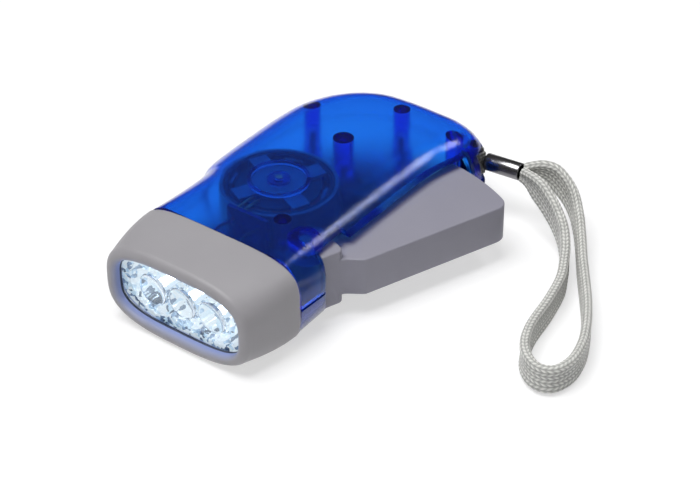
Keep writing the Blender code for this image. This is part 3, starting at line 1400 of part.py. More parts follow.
def make_screws(surfaces):
    """Four case screws, each its own object with a shared mesh."""
    head_radius = SCREW_HEAD_RADIUS
    profile = [
        (head_radius, 0.0), (head_radius, SCREW_HEAD_HEIGHT), (SCREW_SHANK_RADIUS, SCREW_HEAD_HEIGHT),
        (SCREW_SHANK_RADIUS, SCREW_LENGTH - SCREW_SHANK_RADIUS), (SCREW_SHANK_RADIUS / 4, SCREW_LENGTH),
    ]
    rings = [[(x, y, z) for x, y in circle((0, 0), radius, END_STEPS)] for radius, z in profile]
    blank = loft("screw", rings)
    slot = SCREW_SHANK_RADIUS / 3
    cross = SCREW_HEAD_RADIUS * 0.6
    depth = SCREW_HEAD_HEIGHT / 2
    cut(blank, box("slot", (-cross, -slot, -depth), (cross, slot, depth)))
    cut(blank, box("slot", (-slot, -cross, -depth), (slot, cross, depth)))
    finish(blank, "case_screw_tail", surfaces["steel"])
    screws = []
    for key, place in screw_places().items():
        screw = blank if key == "tail" else bpy.data.objects.new(f"case_screw_{key}", blank.data)
        if screw is not blank:
            bpy.context.collection.objects.link(screw)
        screw.location = (place.x, place.y, SCREW_RECESS)
        screws.append(screw)
    return screws


def make_coil_leads(surfaces):
    """The coil's two leads, over the flywheel's rim to the power board."""
    start_radius = BOBBIN_RADIUS - COIL_LEAD_STEP
    low = stator_top() - PLATE_THICKNESS + WIRE_RADIUS
    over = stator_top() + WIRE_RADIUS
    end = POWER_BOARD_X + BOARD_THICKNESS + GAP
    leads = []
    for name, angle in (("coil_lead_a", math.radians(177)), ("coil_lead_b", math.radians(187))):
        way = Vector((math.cos(angle), math.sin(angle)))
        start = GENERATOR + way * start_radius
        rise = GENERATOR + way * (start_radius + COIL_LEAD_STEP)
        keys = [(start.x, start.y, low), (rise.x, rise.y, over), (end - COIL_LEAD_STEP * way.x, rise.y, over)]
        keys.append((end, rise.y, over))
        leads.append(tube(name, smooth_path(keys, 2), WIRE_RADIUS, surfaces["copper"]))
    return leads


def make_lamp_wires(surfaces):
    """The pair of wires from the power board to the lamps' board."""
    wires = []
    lamp_x = led_board_x() + BOARD_THICKNESS + GAP
    level = CEILING_Z - 6 * WIRE_RADIUS
    for name, side, key in (("lamp_wire_red", 1, "wire_red"), ("lamp_wire_black", -1, "wire_black")):
        y = POWER_BOARD_MIDDLE + side * POWER_BOARD_WIDTH / 3
        front = POWER_BOARD_X - GAP
        rise = level - side * WIRE_RADIUS
        keys = [
            (lamp_x, y, SEAM_Z + led_board_half_height() / 2),
            (lamp_x + 4 * WIRE_RADIUS, y, SEAM_Z + led_board_half_height() / 2),
            ((lamp_x + front) / 2, y, rise),
            (front - 4 * WIRE_RADIUS, y, rise - 2 * WIRE_RADIUS),
            (front, y, rise - 2 * WIRE_RADIUS),
        ]
        wires.append(tube(name, smooth_path(keys, 3), WIRE_RADIUS, surfaces[key]))
    return wires


def ferrule_axis():
    """Direction of the ferrule, from the torch outwards."""
    return Vector(FERRULE_RUN).normalized()


def make_ferrule(surfaces):
    """The crimped metal tube that holds the strap's two legs together."""
    length = Vector(FERRULE_RUN).length
    inner = FERRULE_RADIUS - FERRULE_WALL
    edge = FERRULE_WALL / 2
    profile = [
        (inner, 0.0), (FERRULE_RADIUS - edge, 0.0), (FERRULE_RADIUS, edge),
        (FERRULE_RADIUS, length - edge), (FERRULE_RADIUS - edge, length), (inner, length),
    ]
    ferrule = turned("ferrule", profile, (0, 0))
    ferrule.location = FERRULE_START
    ferrule.rotation_euler = ferrule_axis().to_track_quat("Z", "Y").to_euler()
    return finish(ferrule, "strap_ferrule", surfaces["nickel"])


def flat_strap(name, points, width, thickness, shares, surface):
    """A flat braid standing on its edge along a list of points, narrowed where shares say."""
    path = bpy.data.curves.new(name, "CURVE")
    path.dimensions = "3D"
    path.twist_mode = "Z_UP"
    path.bevel_depth = thickness / 2
    path.bevel_resolution = 2
    path.extrude = (width - thickness) / 2
    path.use_fill_caps = True
    run = path.splines.new("POLY")
    run.points.add(len(points) - 1)
    for index, (target, point) in enumerate(zip(run.points, points)):
        target.co = (*point, 1)
        from_end = min(index, len(points) - 1 - index)
        target.radius = shares[from_end] if from_end < len(shares) else 1.0
    path.materials.append(surface)
    item = bpy.data.objects.new(name, path)
    bpy.context.collection.objects.link(item)
    return item


def make_strap(surfaces):
    """The wrist loop beyond the ferrule and the short bight round the post."""
    route = smooth_path([(FERRULE_END.x + x, FERRULE_END.y + y, z) for x, y, z in STRAP_ROUTE], 6)
    step = (len(route) - 1) / STRAP_POINTS
    picked = [route[round(index * step)] for index in range(STRAP_POINTS + 1)]
    print("wrist loop length, m:", round(sum((Vector(a) - Vector(b)).length for a, b in zip(picked, picked[1:])), 4))
    loop = flat_strap("wrist_strap", picked, STRAP_WIDTH, STRAP_THICKNESS, STRAP_END_WIDTH_SHARES, surfaces["braid"])
    mouth = FERRULE_START - ferrule_axis() * BIGHT_THICKNESS
    way = (Vector((mouth.x, mouth.y)) - STRAP_POST)
    heading = math.atan2(way.y, way.x)
    radius = STRAP_POST_RADIUS + STRAP_CHANNEL / 2
    sweep = math.radians(125)
    turn = arc(STRAP_POST, radius, heading + math.pi - sweep, heading + math.pi + sweep, 16)
    side = Vector((-math.sin(heading), math.cos(heading))) * (BIGHT_THICKNESS / 2 + GAP)
    first = Vector((mouth.x, mouth.y)) - side
    last = Vector((mouth.x, mouth.y)) + side
    flat = [tuple(last), *turn[::-1], tuple(first)]
    if (Vector(turn[0]) - last).length < (Vector(turn[-1]) - last).length:
        flat = [tuple(last), *turn, tuple(first)]
    points = [(x, y, mouth.z) for x, y in flat]
    bight = flat_strap("strap_bight", points, BIGHT_WIDTH, BIGHT_THICKNESS, (), surfaces["braid"])
    return [loop, bight]


def main():
    """Build every piece of the torch."""
    clear_scene()
    surfaces = make_materials()
    make_upper_shell(surfaces)
    make_lower_shell(surfaces)
    make_bezel(surfaces)
    make_lens(surfaces)
    make_reflector(surfaces)
    make_leds(surfaces)
    make_led_board(surfaces)
    make_power_board(surfaces)
    make_cells(surfaces)
    make_lever(surfaces)
    make_pivot_pin(surfaces)
    make_return_spring(surfaces)
    make_step_gear(surfaces)
    low = FLOOR_Z / 2 + GAP
    make_axle("step_axle", STEP_GEAR, low, step_post_end() + PINION_WIDTH - GAP, surfaces["steel"])
    make_ratchet_pinion(surfaces)
    make_pawl(surfaces)
    make_ratchet_wheel(surfaces)
    make_ratchet_axle(surfaces)
    make_flywheel(surfaces)
    make_flywheel_pinion(surfaces)
    make_axle("flywheel_axle", GENERATOR, low, CEILING_Z + SHELL_WALL / 2 - GAP, surfaces["steel"])
    make_magnet(surfaces)
    make_stator(surfaces)
    make_bobbin(surfaces)
    make_coil(surfaces)
    make_screws(surfaces)
    make_coil_leads(surfaces)
    make_lamp_wires(surfaces)
    make_ferrule(surfaces)
    make_strap(surfaces)


main()
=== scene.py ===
import json
import math

import bmesh
import bpy
from mathutils import Matrix, Vector


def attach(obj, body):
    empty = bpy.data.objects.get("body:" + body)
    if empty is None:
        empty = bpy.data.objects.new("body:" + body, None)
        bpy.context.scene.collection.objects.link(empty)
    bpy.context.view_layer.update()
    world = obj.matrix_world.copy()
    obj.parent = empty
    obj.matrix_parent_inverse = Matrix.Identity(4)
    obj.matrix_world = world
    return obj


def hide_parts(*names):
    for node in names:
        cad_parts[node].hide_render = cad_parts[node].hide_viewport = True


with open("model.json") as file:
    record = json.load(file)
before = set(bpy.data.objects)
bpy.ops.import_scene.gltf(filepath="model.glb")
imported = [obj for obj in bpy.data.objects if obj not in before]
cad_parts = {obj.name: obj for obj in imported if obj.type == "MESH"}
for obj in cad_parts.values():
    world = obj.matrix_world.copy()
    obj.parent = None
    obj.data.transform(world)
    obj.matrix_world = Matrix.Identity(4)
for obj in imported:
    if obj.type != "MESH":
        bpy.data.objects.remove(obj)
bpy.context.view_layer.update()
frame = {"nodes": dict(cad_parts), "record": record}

nodes = frame["nodes"]
bodies_of = {}
for body_name, listed in frame["record"]["behaviour"]["bodies"].items():
    for listed_node in listed:
        bodies_of[listed_node] = body_name
slots_of = {row["node"]: row["material_slot"] for row in frame["record"]["subparts"]}
case_body = bodies_of["upper_shell"]
lever_body = bodies_of["lever"]

# Shapes are worked out in millimetres
MM = 0.001

# The torch's main sizes, as in the part
GAP = 0.3
FRONT_X = -55.5
TAIL_X = 52.5
BEZEL_LENGTH = 19.4
SHELL_FRONT_X = FRONT_X + BEZEL_LENGTH
SEAM_Z = 13.0
HEIGHT = 26.0
NEAR_SIDE = 27.0
FAR_SIDE = 30.2
WALL = 1.8
PIVOT = Vector((-22.7, -17.4))
GENERATOR = Vector((-5.3, 5.0))
STEP_GEAR = Vector((20.803, 2.886))
RATCHET = Vector((6.841, 8.369))
STRAP_POST = Vector((45.0, -23.8))
SCREWS = {
    "tail": Vector((42.5, -1.4)),
    "strap": Vector((40.6, -20.6)),
    "side": Vector((29.3, 20.4)),
    "head": Vector((-20.0, -7.9)),
}
LEVER_RADIUS = 59.6
LEVER_TRAVEL = math.radians(20)
LED_PITCH = 10.0

# How far a tool runs past the form that it cuts
OVERRUN = 2
FRONT_OVERRUN = 5

# Points this close are merged, and holes of this few sides filled, where cuts leave cracks
CRACK = 0.002
CRACK_SIDES = 8

# Doubled points of the part's meshes lie this close, and its flat faces turn less than this
SAME_POINT = 0.001
FLAT = math.radians(0.5)

# Edges sharper than these, in degrees, are shaded as creases
CREASE = 35
SOFT_CREASE = 50

# Points round an oblong of the head
OBLONG_STEPS = 112

# Camera, whose clip end is in metres
CAMERA_PLACE = (-395.6, -313.2, 366.4)
CAMERA_TARGET = (-7.04, -20.38, 12.89)
CAMERA_LENS = 115.7
SENSOR_WIDTH = 36
CLIP_END = 50

# Studio lamps: place and aim, then size in metres and power in watts
LIGHTS = (
    ("key", (-260, 120, 1120), (0, 0, 0), (0.7, 0.7), 13.0),
    ("strip", (616, -285, 808), (0, -20, 20), (0.24, 0.24), 1.5),
)
WORLD_LIGHT = 0.08

# Floor, which glows to the eye but not under the clear case: half sizes of its footprint in
# metres, and where in them the glow begins and is full
FLOOR_HALF = 4000
FLOOR_Z = -0.05
FLOOR_WHITE = (0.95, 0.95, 0.96, 1)
FLOOR_PALE = (0.45, 0.45, 0.455, 1)
FLOOR_GLOW = 0.6
FOOTPRINT = (0.054, 0.029)
FOOTPRINT_EDGE = (0.8, 1.3)


# Mesh helpers, all in millimetres until a piece is linked

def link(name, work, crease=CREASE):
    """A linked object in metres from a bmesh in millimetres."""
    bmesh.ops.recalc_face_normals(work, faces=work.faces)
    bmesh.ops.scale(work, vec=(MM, MM, MM), verts=work.verts)
    mesh = bpy.data.meshes.new(name)
    work.to_mesh(mesh)
    work.free()
    item = bpy.data.objects.new(name, mesh)
    bpy.context.collection.objects.link(item)
    shade(item, crease)
    return item


def shade(item, angle):
    item.data.shade_smooth()
    item.data.set_sharp_from_angle(angle=math.radians(angle))


def loft(name, rings, closed=False, crease=CREASE):
    """Quads through rings of equal counts, with a cap on each end unless it closes on itself."""
    work = bmesh.new()
    loops = [[work.verts.new(point) for point in ring] for ring in rings]
    pairs = list(zip(loops, loops[1:]))
    if closed:
        pairs.append((loops[-1], loops[0]))
    for lower, upper in pairs:
        for i in range(len(lower)):
            j = (i + 1) % len(lower)
            work.faces.new((lower[i], lower[j], upper[j], upper[i]))
    if not closed:
        work.faces.new(loops[0])
        work.faces.new(loops[-1])
    return link(name, work, crease)


def prism(name, points, bottom, top):
    return loft(name, [[(x, y, z) for x, y in points] for z in (bottom, top)])


def arc(centre, radius, start, end, steps):
    angles = [start + (end - start) * i / steps for i in range(steps + 1)]
    return [(centre[0] + radius * math.cos(a), centre[1] + radius * math.sin(a)) for a in angles]


def circle(centre, radius, steps):
    return arc(centre, radius, 0, 2 * math.pi, steps)[:-1]


def quarter(steps):
    """Angles from nothing to a right angle, the last one left out."""
    return [math.pi / 2 * step / steps for step in range(steps)]


def disc(name, centre, radius, bottom, top, steps=48):
    return prism(name, circle(centre, radius, steps), bottom, top)


def box(name, low, high):
    outline = [(low[0], low[1]), (high[0], low[1]), (high[0], high[1]), (low[0], high[1])]
    return prism(name, outline, low[2], high[2])


def turned(name, profile, centre, steps=72):
    """A ring about an upright axis, from a closed profile of radius and height."""
    return loft(name, [
        [(x, y, height) for x, y in circle(centre, radius, steps)] for radius, height in profile
    ], closed=True)


def combine(target, tool, operation):
    change = target.modifiers.new("change", "BOOLEAN")
    change.operation = operation
    change.object = tool
    evaluated = target.evaluated_get(bpy.context.evaluated_depsgraph_get())
    mesh = bpy.data.meshes.new_from_object(evaluated)
    target.modifiers.clear()
    target.data = mesh
    bpy.data.objects.remove(tool, do_unlink=True)
    return target


def cut(target, *tools):
    for tool in tools:
        combine(target, tool, "DIFFERENCE")
    return target


def join(target, *tools):
    for tool in tools:
        combine(target, tool, "UNION")
    return target


def mend(item):
    """Close the hairline cracks that a row of cuts leaves."""
    work = bmesh.new()
    work.from_mesh(item.data)
    bmesh.ops.remove_doubles(work, verts=work.verts, dist=CRACK * MM)
    bmesh.ops.dissolve_degenerate(work, edges=work.edges, dist=CRACK * MM)
    bmesh.ops.holes_fill(work, edges=[e for e in work.edges if e.is_boundary], sides=CRACK_SIDES)
    work.to_mesh(item.data)
    work.free()
    return item


def smooth_path(points, samples):
    """Catmull-Rom through points of any dimension."""
    result = []
    last = len(points) - 1
    for i in range(last):
        before, start = points[max(i - 1, 0)], points[i]
        end, after = points[i + 1], points[min(i + 2, last)]
        for step in range(samples):
            t = step / samples
            weights = (
                (-t + 2 * t**2 - t**3) / 2,
                (2 - 5 * t**2 + 3 * t**3) / 2,
                (t + 4 * t**2 - 3 * t**3) / 2,
                (-t**2 + t**3) / 2,
            )
            rows = zip(before, start, end, after)
            result.append(tuple(sum(w * v for w, v in zip(weights, row)) for row in rows))
    result.append(tuple(points[last]))
    return result


def oblong_ring(x, half_width, half_height, power, middle=SEAM_Z):
    """A superellipse across the torch: power 2 is an ellipse, more is squarer."""
    ring = []
    for i in range(OBLONG_STEPS):
        angle = 2 * math.pi * (i + 0.5) / OBLONG_STEPS
        across = math.copysign(abs(math.cos(angle))**(2 / power), math.cos(angle))
        rise = math.copysign(abs(math.sin(angle))**(2 / power), math.sin(angle))
        ring.append((x, half_width * across, middle + half_height * rise))
    return ring


def mix(a, b, share):
    return a + (b - a) * share


def ordered(a, b):
    return (min(a, b), max(a, b))


def dress(item, surface, body=case_body, replaces=(), slot=None):
    """Give a piece its surface and its body, and hide the nodes that it stands for."""
    item.data.materials.clear()
    item.data.materials.append(surface)
    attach(item, body)
    if replaces:
        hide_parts(*replaces)
        slot = slot or slots_of[replaces[0]]
    return item


# Materials

class Nodes:
    """A small helper to wire one material."""

    def __init__(self, name):
        self.material = bpy.data.materials.new(name)
        self.material.use_nodes = True
        self.tree = self.material.node_tree
        self.tree.nodes.clear()
        self.out = self.tree.nodes.new("ShaderNodeOutputMaterial")

    def add(self, kind, inputs=None, **settings):
        node = self.tree.nodes.new("ShaderNode" + kind)
        for key, value in settings.items():
            setattr(node, key, value)
        for key, value in (inputs or {}).items():
            if isinstance(value, bpy.types.NodeSocket):
                self.tree.links.new(value, node.inputs[key])
            else:
                node.inputs[key].default_value = value
        return node

    def place(self):
        return self.add("TexCoord").outputs["Object"]

    def noise(self, vector, scale, detail):
        return self.add("TexNoise", {"Vector": vector, "Scale": scale, "Detail": detail})

    def bump(self, height, strength, distance):
        inputs = {"Height": height, "Strength": strength, "Distance": distance}
        return self.add("Bump", inputs).outputs["Normal"]

    def grain(self, scale, strength, distance, detail=2.0):
        """The normal of a fine moulded texture."""
        return self.bump(self.noise(self.place(), scale, detail).outputs["Fac"], strength, distance)

    def tint(self, share, first, second):
        inputs = {"Factor": share, "A": first, "B": second}
        return self.add("Mix", inputs, data_type="RGBA").outputs["Result"]

    def maths(self, operation, *values, **settings):
        return self.add("Math", dict(enumerate(values)), operation=operation, **settings).outputs[0]

    def either(self, *names):
        """One or nothing: whether the ray is of any of the kinds that are named."""
        path = self.add("LightPath")
        total = path.outputs[names[0]]
        for name in names[1:]:
            total = self.maths("MAXIMUM", total, path.outputs[name])
        return total

    def blend(self, share, first, second):
        return self.add("MixShader", {0: share, 1: first, 2: second}).outputs[0]

    def surface(self, socket):
        self.tree.links.new(socket, self.out.inputs["Surface"])
        return self.material

    def principled(self, **inputs):
        """A Principled shader; an underscore in a name stands for a space."""
        named = {key.replace("_", " "): value for key, value in inputs.items()}
        return self.add("BsdfPrincipled", named).outputs["BSDF"]


def plastic_grey(name, dark, light, painted_lamp_light=None):
    """Moulded grey plastic; painted lamp light may be laid on by the points' glow."""
    m = Nodes(name)
    normal = m.grain(5200.0, 0.22, 0.00006)
    broad = m.noise(m.place(), 90.0, 3.0)
    colour = m.tint(broad.outputs["Fac"], (*dark, 1), (*light, 1))
    if painted_lamp_light:
        # Painted lamp light: the lamps' bluish tint, laid on by the points' glow
        reach = m.add("Attribute", attribute_name="glow")
        colour = m.tint(reach.outputs["Fac"], colour, (*painted_lamp_light, 1))
    return m.surface(m.principled(Base_Color=colour, Roughness=0.5, Normal=normal))


def plastic_blue():
    """See-through blue: frosted, coloured by its depth, and plain to shadow and bounced rays."""
    m = Nodes("clear_blue_fine")
    frosted = m.principled(
        Base_Color=(1, 1, 1, 1), Roughness=0.2, Transmission_Weight=1.0, IOR=1.33,
        Coat_Weight=0.6, Coat_Roughness=0.1, Coat_IOR=1.45,
        Normal=m.grain(2600.0, 0.12, 0.00005), Coat_Normal=m.grain(3600.0, 0.5, 0.00005))
    skin = m.add("BsdfDiffuse", {"Color": (0.0, 0.07, 1.0, 1)})
    body = m.blend(0.035, frosted, skin.outputs[0])
    clear = m.add("BsdfTransparent", {"Color": (0.42, 0.29, 0.45, 1)})
    both = m.blend(m.either("Is Shadow Ray", "Is Diffuse Ray"), body, clear.outputs[0])
    depth = m.add("VolumeAbsorption", {"Color": (0.0, 0.67, 0.991, 1), "Density": 1150.0})
    m.tree.links.new(depth.outputs[0], m.out.inputs["Volume"])
    return m.surface(both)


def clear_window():
    """Clear moulded plastic that bends what is seen through it."""
    m = Nodes("clear_window")
    return m.surface(m.principled(
        Base_Color=(0.86, 0.94, 1.0, 1), Roughness=0.02, Transmission_Weight=1.0, IOR=1.45,
        Normal=m.grain(220.0, 0.05, 0.0003, 1.0)))


# Colours of the painted reflection that glows on the reflector's facets
PAINTED_SPARKLE_STOPS = (
    (0.33, (0.12, 0.18, 0.28, 1)),
    (0.41, (0.38, 0.56, 0.78, 1)),
    (0.5, (0.74, 0.91, 1.0, 1)),
)


def chrome():
    """Metallised facets: glowing sparkles between darker ones, a painted reflection of lamp light.
    """
    m = Nodes("chrome_painted_sparkle")
    place = m.place()
    warp = m.noise(place, 260.0, 3.0)
    inputs = {"Factor": 0.004, "A": place, "B": warp.outputs["Color"]}
    bent = m.add("Mix", inputs, data_type="VECTOR")
    cells = m.add("TexVoronoi", {"Vector": bent.outputs["Result"], "Scale": 800.0})
    tone = m.add("SeparateColor", {0: cells.outputs["Color"]})
    broad = m.noise(place, 170.0, 3.0)
    both_tones = m.maths("ADD", tone.outputs[0], broad.outputs["Fac"])
    ramp = m.add("ValToRGB", {0: m.maths("MULTIPLY", both_tones, 0.5)})
    stops = ramp.color_ramp.elements
    stops[0].position = 0.25
    stops[0].color = (0.03, 0.05, 0.08, 1)
    stops[1].position = 0.58
    stops[1].color = (0.95, 0.99, 1.0, 1)
    for position, colour in PAINTED_SPARKLE_STOPS:
        stop = stops.new(position)
        stop.color = colour
    mirror = m.principled(
        Base_Color=(0.86, 0.9, 0.95, 1), Metallic=1.0, Roughness=0.12,
        Normal=m.bump(cells.outputs["Distance"], 0.8, 0.0006))
    # Painted reflection: the facets glow with lamp light
    painted_lamp_light = m.add("Emission", {"Color": ramp.outputs[0], "Strength": 0.95})
    return m.surface(m.blend(0.75, mirror, painted_lamp_light.outputs[0]))


def metal(name, colour, roughness, scale=900.0, strength=0.05):
    m = Nodes(name)
    normal = m.grain(scale, strength, 0.00005)
    return m.surface(m.principled(
        Base_Color=(*colour, 1), Metallic=1.0, Roughness=roughness, Normal=normal))


def plain(name, colour, roughness):
    m = Nodes(name)
    normal = m.grain(1500.0, 0.12, 0.00006)
    return m.surface(m.principled(Base_Color=(*colour, 1), Roughness=roughness, Normal=normal))


def glow(name, colour, strength):
    m = Nodes(name)
    return m.surface(m.add("Emission", {"Color": (*colour, 1), "Strength": strength}).outputs[0])


def lamp_epoxy():
    """Clear epoxy filled with its lamp's light, with a gloss."""
    m = Nodes("lamp_epoxy")
    clear = m.add("BsdfTransparent", {"Color": (0.96, 0.98, 1.0, 1)})
    shine = m.add("Emission", {"Color": (0.8, 0.9, 1.0, 1), "Strength": 2.2})
    gloss = m.add("BsdfGlossy", {"Roughness": 0.05})
    fresnel = m.add("Fresnel", {"IOR": 1.5})
    filled = m.blend(0.45, clear.outputs[0], shine.outputs[0])
    return m.surface(m.blend(fresnel.outputs[0], filled, gloss.outputs[0]))


def braid_cloth(name, groove, yarn):
    """Soft cotton braid: pale yarns, with painted shade in the grooves, by the points' weave."""
    m = Nodes(name)
    place = m.add("UVMap", uv_map="braid").outputs["UV"]
    weave = m.add("Attribute", attribute_name="weave")
    fibre = m.noise(place, 9.0, 3.0).outputs["Fac"]
    worn = m.noise(place, 0.35, 2.0).outputs["Fac"]
    shift = m.maths("MULTIPLY_ADD", m.maths("ADD", fibre, worn), 0.35, -0.35)
    # Painted shade: the grooves, where the weave is low, take the darker colour
    level = m.maths("ADD", weave.outputs["Fac"], shift, use_clamp=True)
    return m.surface(m.principled(
        Base_Color=m.tint(level, (*groove, 1), (*yarn, 1)), Roughness=0.92, Sheen_Weight=0.25,
        Normal=m.bump(fibre, 0.35, 0.00012)))


# By the part's slots, with four more: lever_plastic, lip_shade, lamp_core and braid_painted_shade
surfaces = {
    "clear_blue": plastic_blue(),
    # Its last colour is painted lamp light on the bezel's lip
    "grey_plastic": plastic_grey(
        "grey_plastic_fine", (0.335, 0.325, 0.345), (0.362, 0.352, 0.372), (0.3, 0.36, 0.66)),
    "lever_plastic": plastic_grey("lever_plastic_fine", (0.28, 0.275, 0.335), (0.306, 0.3, 0.36)),
    "clear_lens": clear_window(),
    "chrome": chrome(),
    "lip_shade": plain("lip_shade", (0.03, 0.035, 0.07), 0.5),
    "lamp": lamp_epoxy(),
    "lamp_core": glow("lamp_core", (0.85, 0.93, 1.0), 20.0),
    "board": plain("board_violet", (0.04, 0.012, 0.15), 0.45),
    "steel": metal("steel_dark", (0.2, 0.2, 0.22), 0.35),
    "spring_steel": metal("spring_wire", (0.4, 0.4, 0.42), 0.3),
    "gear_white": plain("gear_dark", (0.02, 0.02, 0.022), 0.45),
    "iron": metal("iron_plated", (0.2, 0.21, 0.25), 0.5),
    "magnet": plain("magnet_dark", (0.02, 0.02, 0.025), 0.6),
    "bobbin_black": plain("bobbin_black", (0.015, 0.015, 0.015), 0.5),
    "copper": metal("copper_wire", (0.72, 0.3, 0.12), 0.32, 2500.0, 0.3),
    "cell_wrap": plain("cell_wrap", (0.03, 0.16, 0.08), 0.35),
    "wire_red": plain("wire_red", (0.5, 0.02, 0.02), 0.45),
    "wire_black": plain("wire_black", (0.02, 0.02, 0.02), 0.45),
    "nickel": metal("nickel_polished", (0.27, 0.265, 0.28), 0.25, 400.0, 0.02),
    # The first colour is painted shade in the grooves
    "braid": braid_cloth("braid_cloth", (0.34, 0.34, 0.325), (0.93, 0.93, 0.89)),
    # Darker braid for the turn round the post: painted shade between shell and ferrule
    "braid_painted_shade": braid_cloth("braid_cloth_painted_shade", (0.06, 0.06, 0.055), (0.30, 0.30, 0.28)),
}


# Shell

# From the head to the tail and back: along and across at the seam, then at the flat face
OUTLINE_SHARES = (
    (0.0, -0.985, 0.0, -0.7),
    (0.137, -1.0, 0.137, -0.6),
    (0.407, -1.0, 0.407, -0.537),
    (0.644, -1.0, 0.621, -0.537),
    (0.745, -1.03, 0.695, -0.563),
    (0.824, -1.09, 0.762, -0.63),
    (0.891, -1.1, 0.824, -0.681),
    (0.954, -1.0, 0.873, -0.652),
    (0.991, -0.778, 0.896, -0.533),
    (0.999, -0.444, 0.901, -0.333),
    (1.0, 0.0, 0.898, -0.037),
    (0.987, 0.315, 0.884, 0.205),
    (0.943, 0.579, 0.842, 0.391),
    (0.87, 0.795, 0.785, 0.51),
    (0.774, 0.947, 0.717, 0.57),
    (0.655, 1.0, 0.638, 0.589),
    (0.497, 1.005, 0.497, 0.593),
    (0.384, 1.0, 0.384, 0.583),
    (0.317, 0.987, 0.311, 0.556),
    (0.283, 0.94, 0.271, 0.533),
    (0.255, 0.92, 0.238, 0.523),
    (0.204, 0.91, 0.193, 0.53),
    (0.114, 0.894, 0.114, 0.57),
    (0.0, 0.882, 0.0, 0.63),
)
SHELL_SAMPLES = 7
SHELL_LEVELS = 18
SHELL_CREASE = 40
FRONT_WALL = 1.5
SEAM_ROUND = 0.25
SLOT_LEFT = PIVOT.x - 1.6
SLOT_RIGHT = PIVOT.x + LEVER_RADIUS + 1.0
SLOT_INNER = -20.15
SLOT_HALF = 8.5
STRIP_ROUND = 3
STRIP_STEPS = 12
NOTCH_HALF = 10.3
NOTCH_RIGHT = PIVOT.x + 10.7
NOTCH_STEP = 0.6
CHANNEL = 3.6
CHANNEL_FLARE = 10
CHANNEL_WALL = 1.3
CHANNEL_LOW = 9.0
CHANNEL_HIGH = 20.3
CHANNEL_STEPS = 24
STRAP_POST_RADIUS = 1.6
SPIGOT_HALF_WIDTH = 23.4
SPIGOT_HALF_HEIGHT = 10.4
SPIGOT_WALL = 1.5
SPIGOT_LENGTH = 7.5
SPIGOT_STEPS = 16

# Bosses by their radius and the height of their free end, and holes by their radius and two ends
UPPER_POST = (2.4, 9.3)
LOWER_POST = (2.7, 9.0)
CENTRE_BOSS = (3.2, 23.3)
STEP_BOSS = (2.95, 12.6)
UPPER_PIVOT_BOSS = (4.6, 21.8)
LOWER_PIVOT_BOSS = (4.6, 4.2)
AXLE_BOSS_RADIUS = 3.2
AXLES = ((GENERATOR, 4.75), (STEP_GEAR, 2.35), (RATCHET, 2.35))
RIB_RADII = (7.6, 8.5)
SCREW_RADIUS = 1.15
PILOT = (SCREW_RADIUS, 7, 17.2)
RECESS = (2.1, -2, 5.2)
THROUGH_HOLE = (SCREW_RADIUS, 3, 15)
UPPER_PIN_HOLE = (1.8, 19.8, 24.0)
LOWER_PIN_HOLE = (1.8, 2.0, 6.2)
CENTRE_HOLE_END = 21.3
STEP_HOLE = (SCREW_RADIUS, 10.6, 16.2)


def outline():
    """The shell's line at the seam and the one round its flat face."""
    def across(share):
        return share * (NEAR_SIDE if share < 0 else FAR_SIDE)

    length = TAIL_X - SHELL_FRONT_X
    keys = [
        (SHELL_FRONT_X + length * x, across(y), SHELL_FRONT_X + length * top_x, across(top_y))
        for x, y, top_x, top_y in OUTLINE_SHARES
    ]
    samples = smooth_path(keys, SHELL_SAMPLES)
    return [Vector(s[:2]) for s in samples], [Vector(s[2:]) for s in samples]


def inset_points(points, distance):
    moved = []
    for i, point in enumerate(points):
        tangent = points[min(i + 1, len(points) - 1)] - points[max(i - 1, 0)]
        tangent.normalize()
        moved.append(point + Vector((-tangent.y, tangent.x)) * distance)
    return moved


def half_form(name, direction, inset=0.0):
    """One half's outer form, or with an inset its hollow."""
    seam_line, face_line = outline()
    rings = []
    if inset:
        seam_line = inset_points(seam_line, inset)
        rings.append([(p.x, p.y, SEAM_Z - direction * OVERRUN) for p in seam_line])
    else:
        rounded = inset_points(seam_line, SEAM_ROUND)
        groove = [Vector((max(p.x, SHELL_FRONT_X), p.y)) for p in rounded]
        rings.append([(p.x, p.y, SEAM_Z + direction * GAP / 2) for p in groove])
    height = HEIGHT / 2 - inset
    first = 0.0 if inset else GAP / 2 + SEAM_ROUND
    for level in range(SHELL_LEVELS + 1):
        angle = math.pi / 2 * level / SHELL_LEVELS
        share = 1 - math.cos(angle)
        z = SEAM_Z + direction * max(height * math.sin(angle), first)
        rings.append([(*(s.lerp(f, share)), z) for s, f in zip(seam_line, face_line)])
    return loft(name, rings)


def half_spigot(name, direction, half_width, half_height, first, ends):
    """Half of the oblong collar that carries the bezel, or of its bore."""
    centre = half_width - half_height
    lift = math.asin(max(first, 0.0) / half_height)
    ring = arc((centre, 0), half_height, lift, math.pi / 2, SPIGOT_STEPS)
    ring += arc((-centre, 0), half_height, math.pi / 2, math.pi - lift, SPIGOT_STEPS)
    if first < 0:
        ring = [(half_width, first), *ring, (-half_width, first)]
    return loft(name, [[(x, y, SEAM_Z + direction * z) for y, z in ring] for x in ends])


def from_seam(direction, reach):
    return ordered(SEAM_Z - direction * OVERRUN, SEAM_Z + direction * reach)


def slot_tool(direction):
    corner = (SLOT_LEFT - STRIP_ROUND, -NEAR_SIDE + STRIP_ROUND)
    strip = arc(corner, STRIP_ROUND, 0, -math.pi / 2, STRIP_STEPS)
    outside = -NEAR_SIDE * 2
    points = [
        (SLOT_LEFT, SLOT_INNER), *strip, (SLOT_LEFT - STRIP_ROUND, outside),
        (SLOT_RIGHT, outside), (SLOT_RIGHT, SLOT_INNER),
    ]
    return prism("slot", points, *from_seam(direction, SLOT_HALF))


def notch_tool(direction):
    low, high = from_seam(direction, NOTCH_HALF)
    near = (SLOT_LEFT, -NEAR_SIDE * 2, low)
    return box("notch", near, (NOTCH_RIGHT, SLOT_INNER + NOTCH_STEP, high))


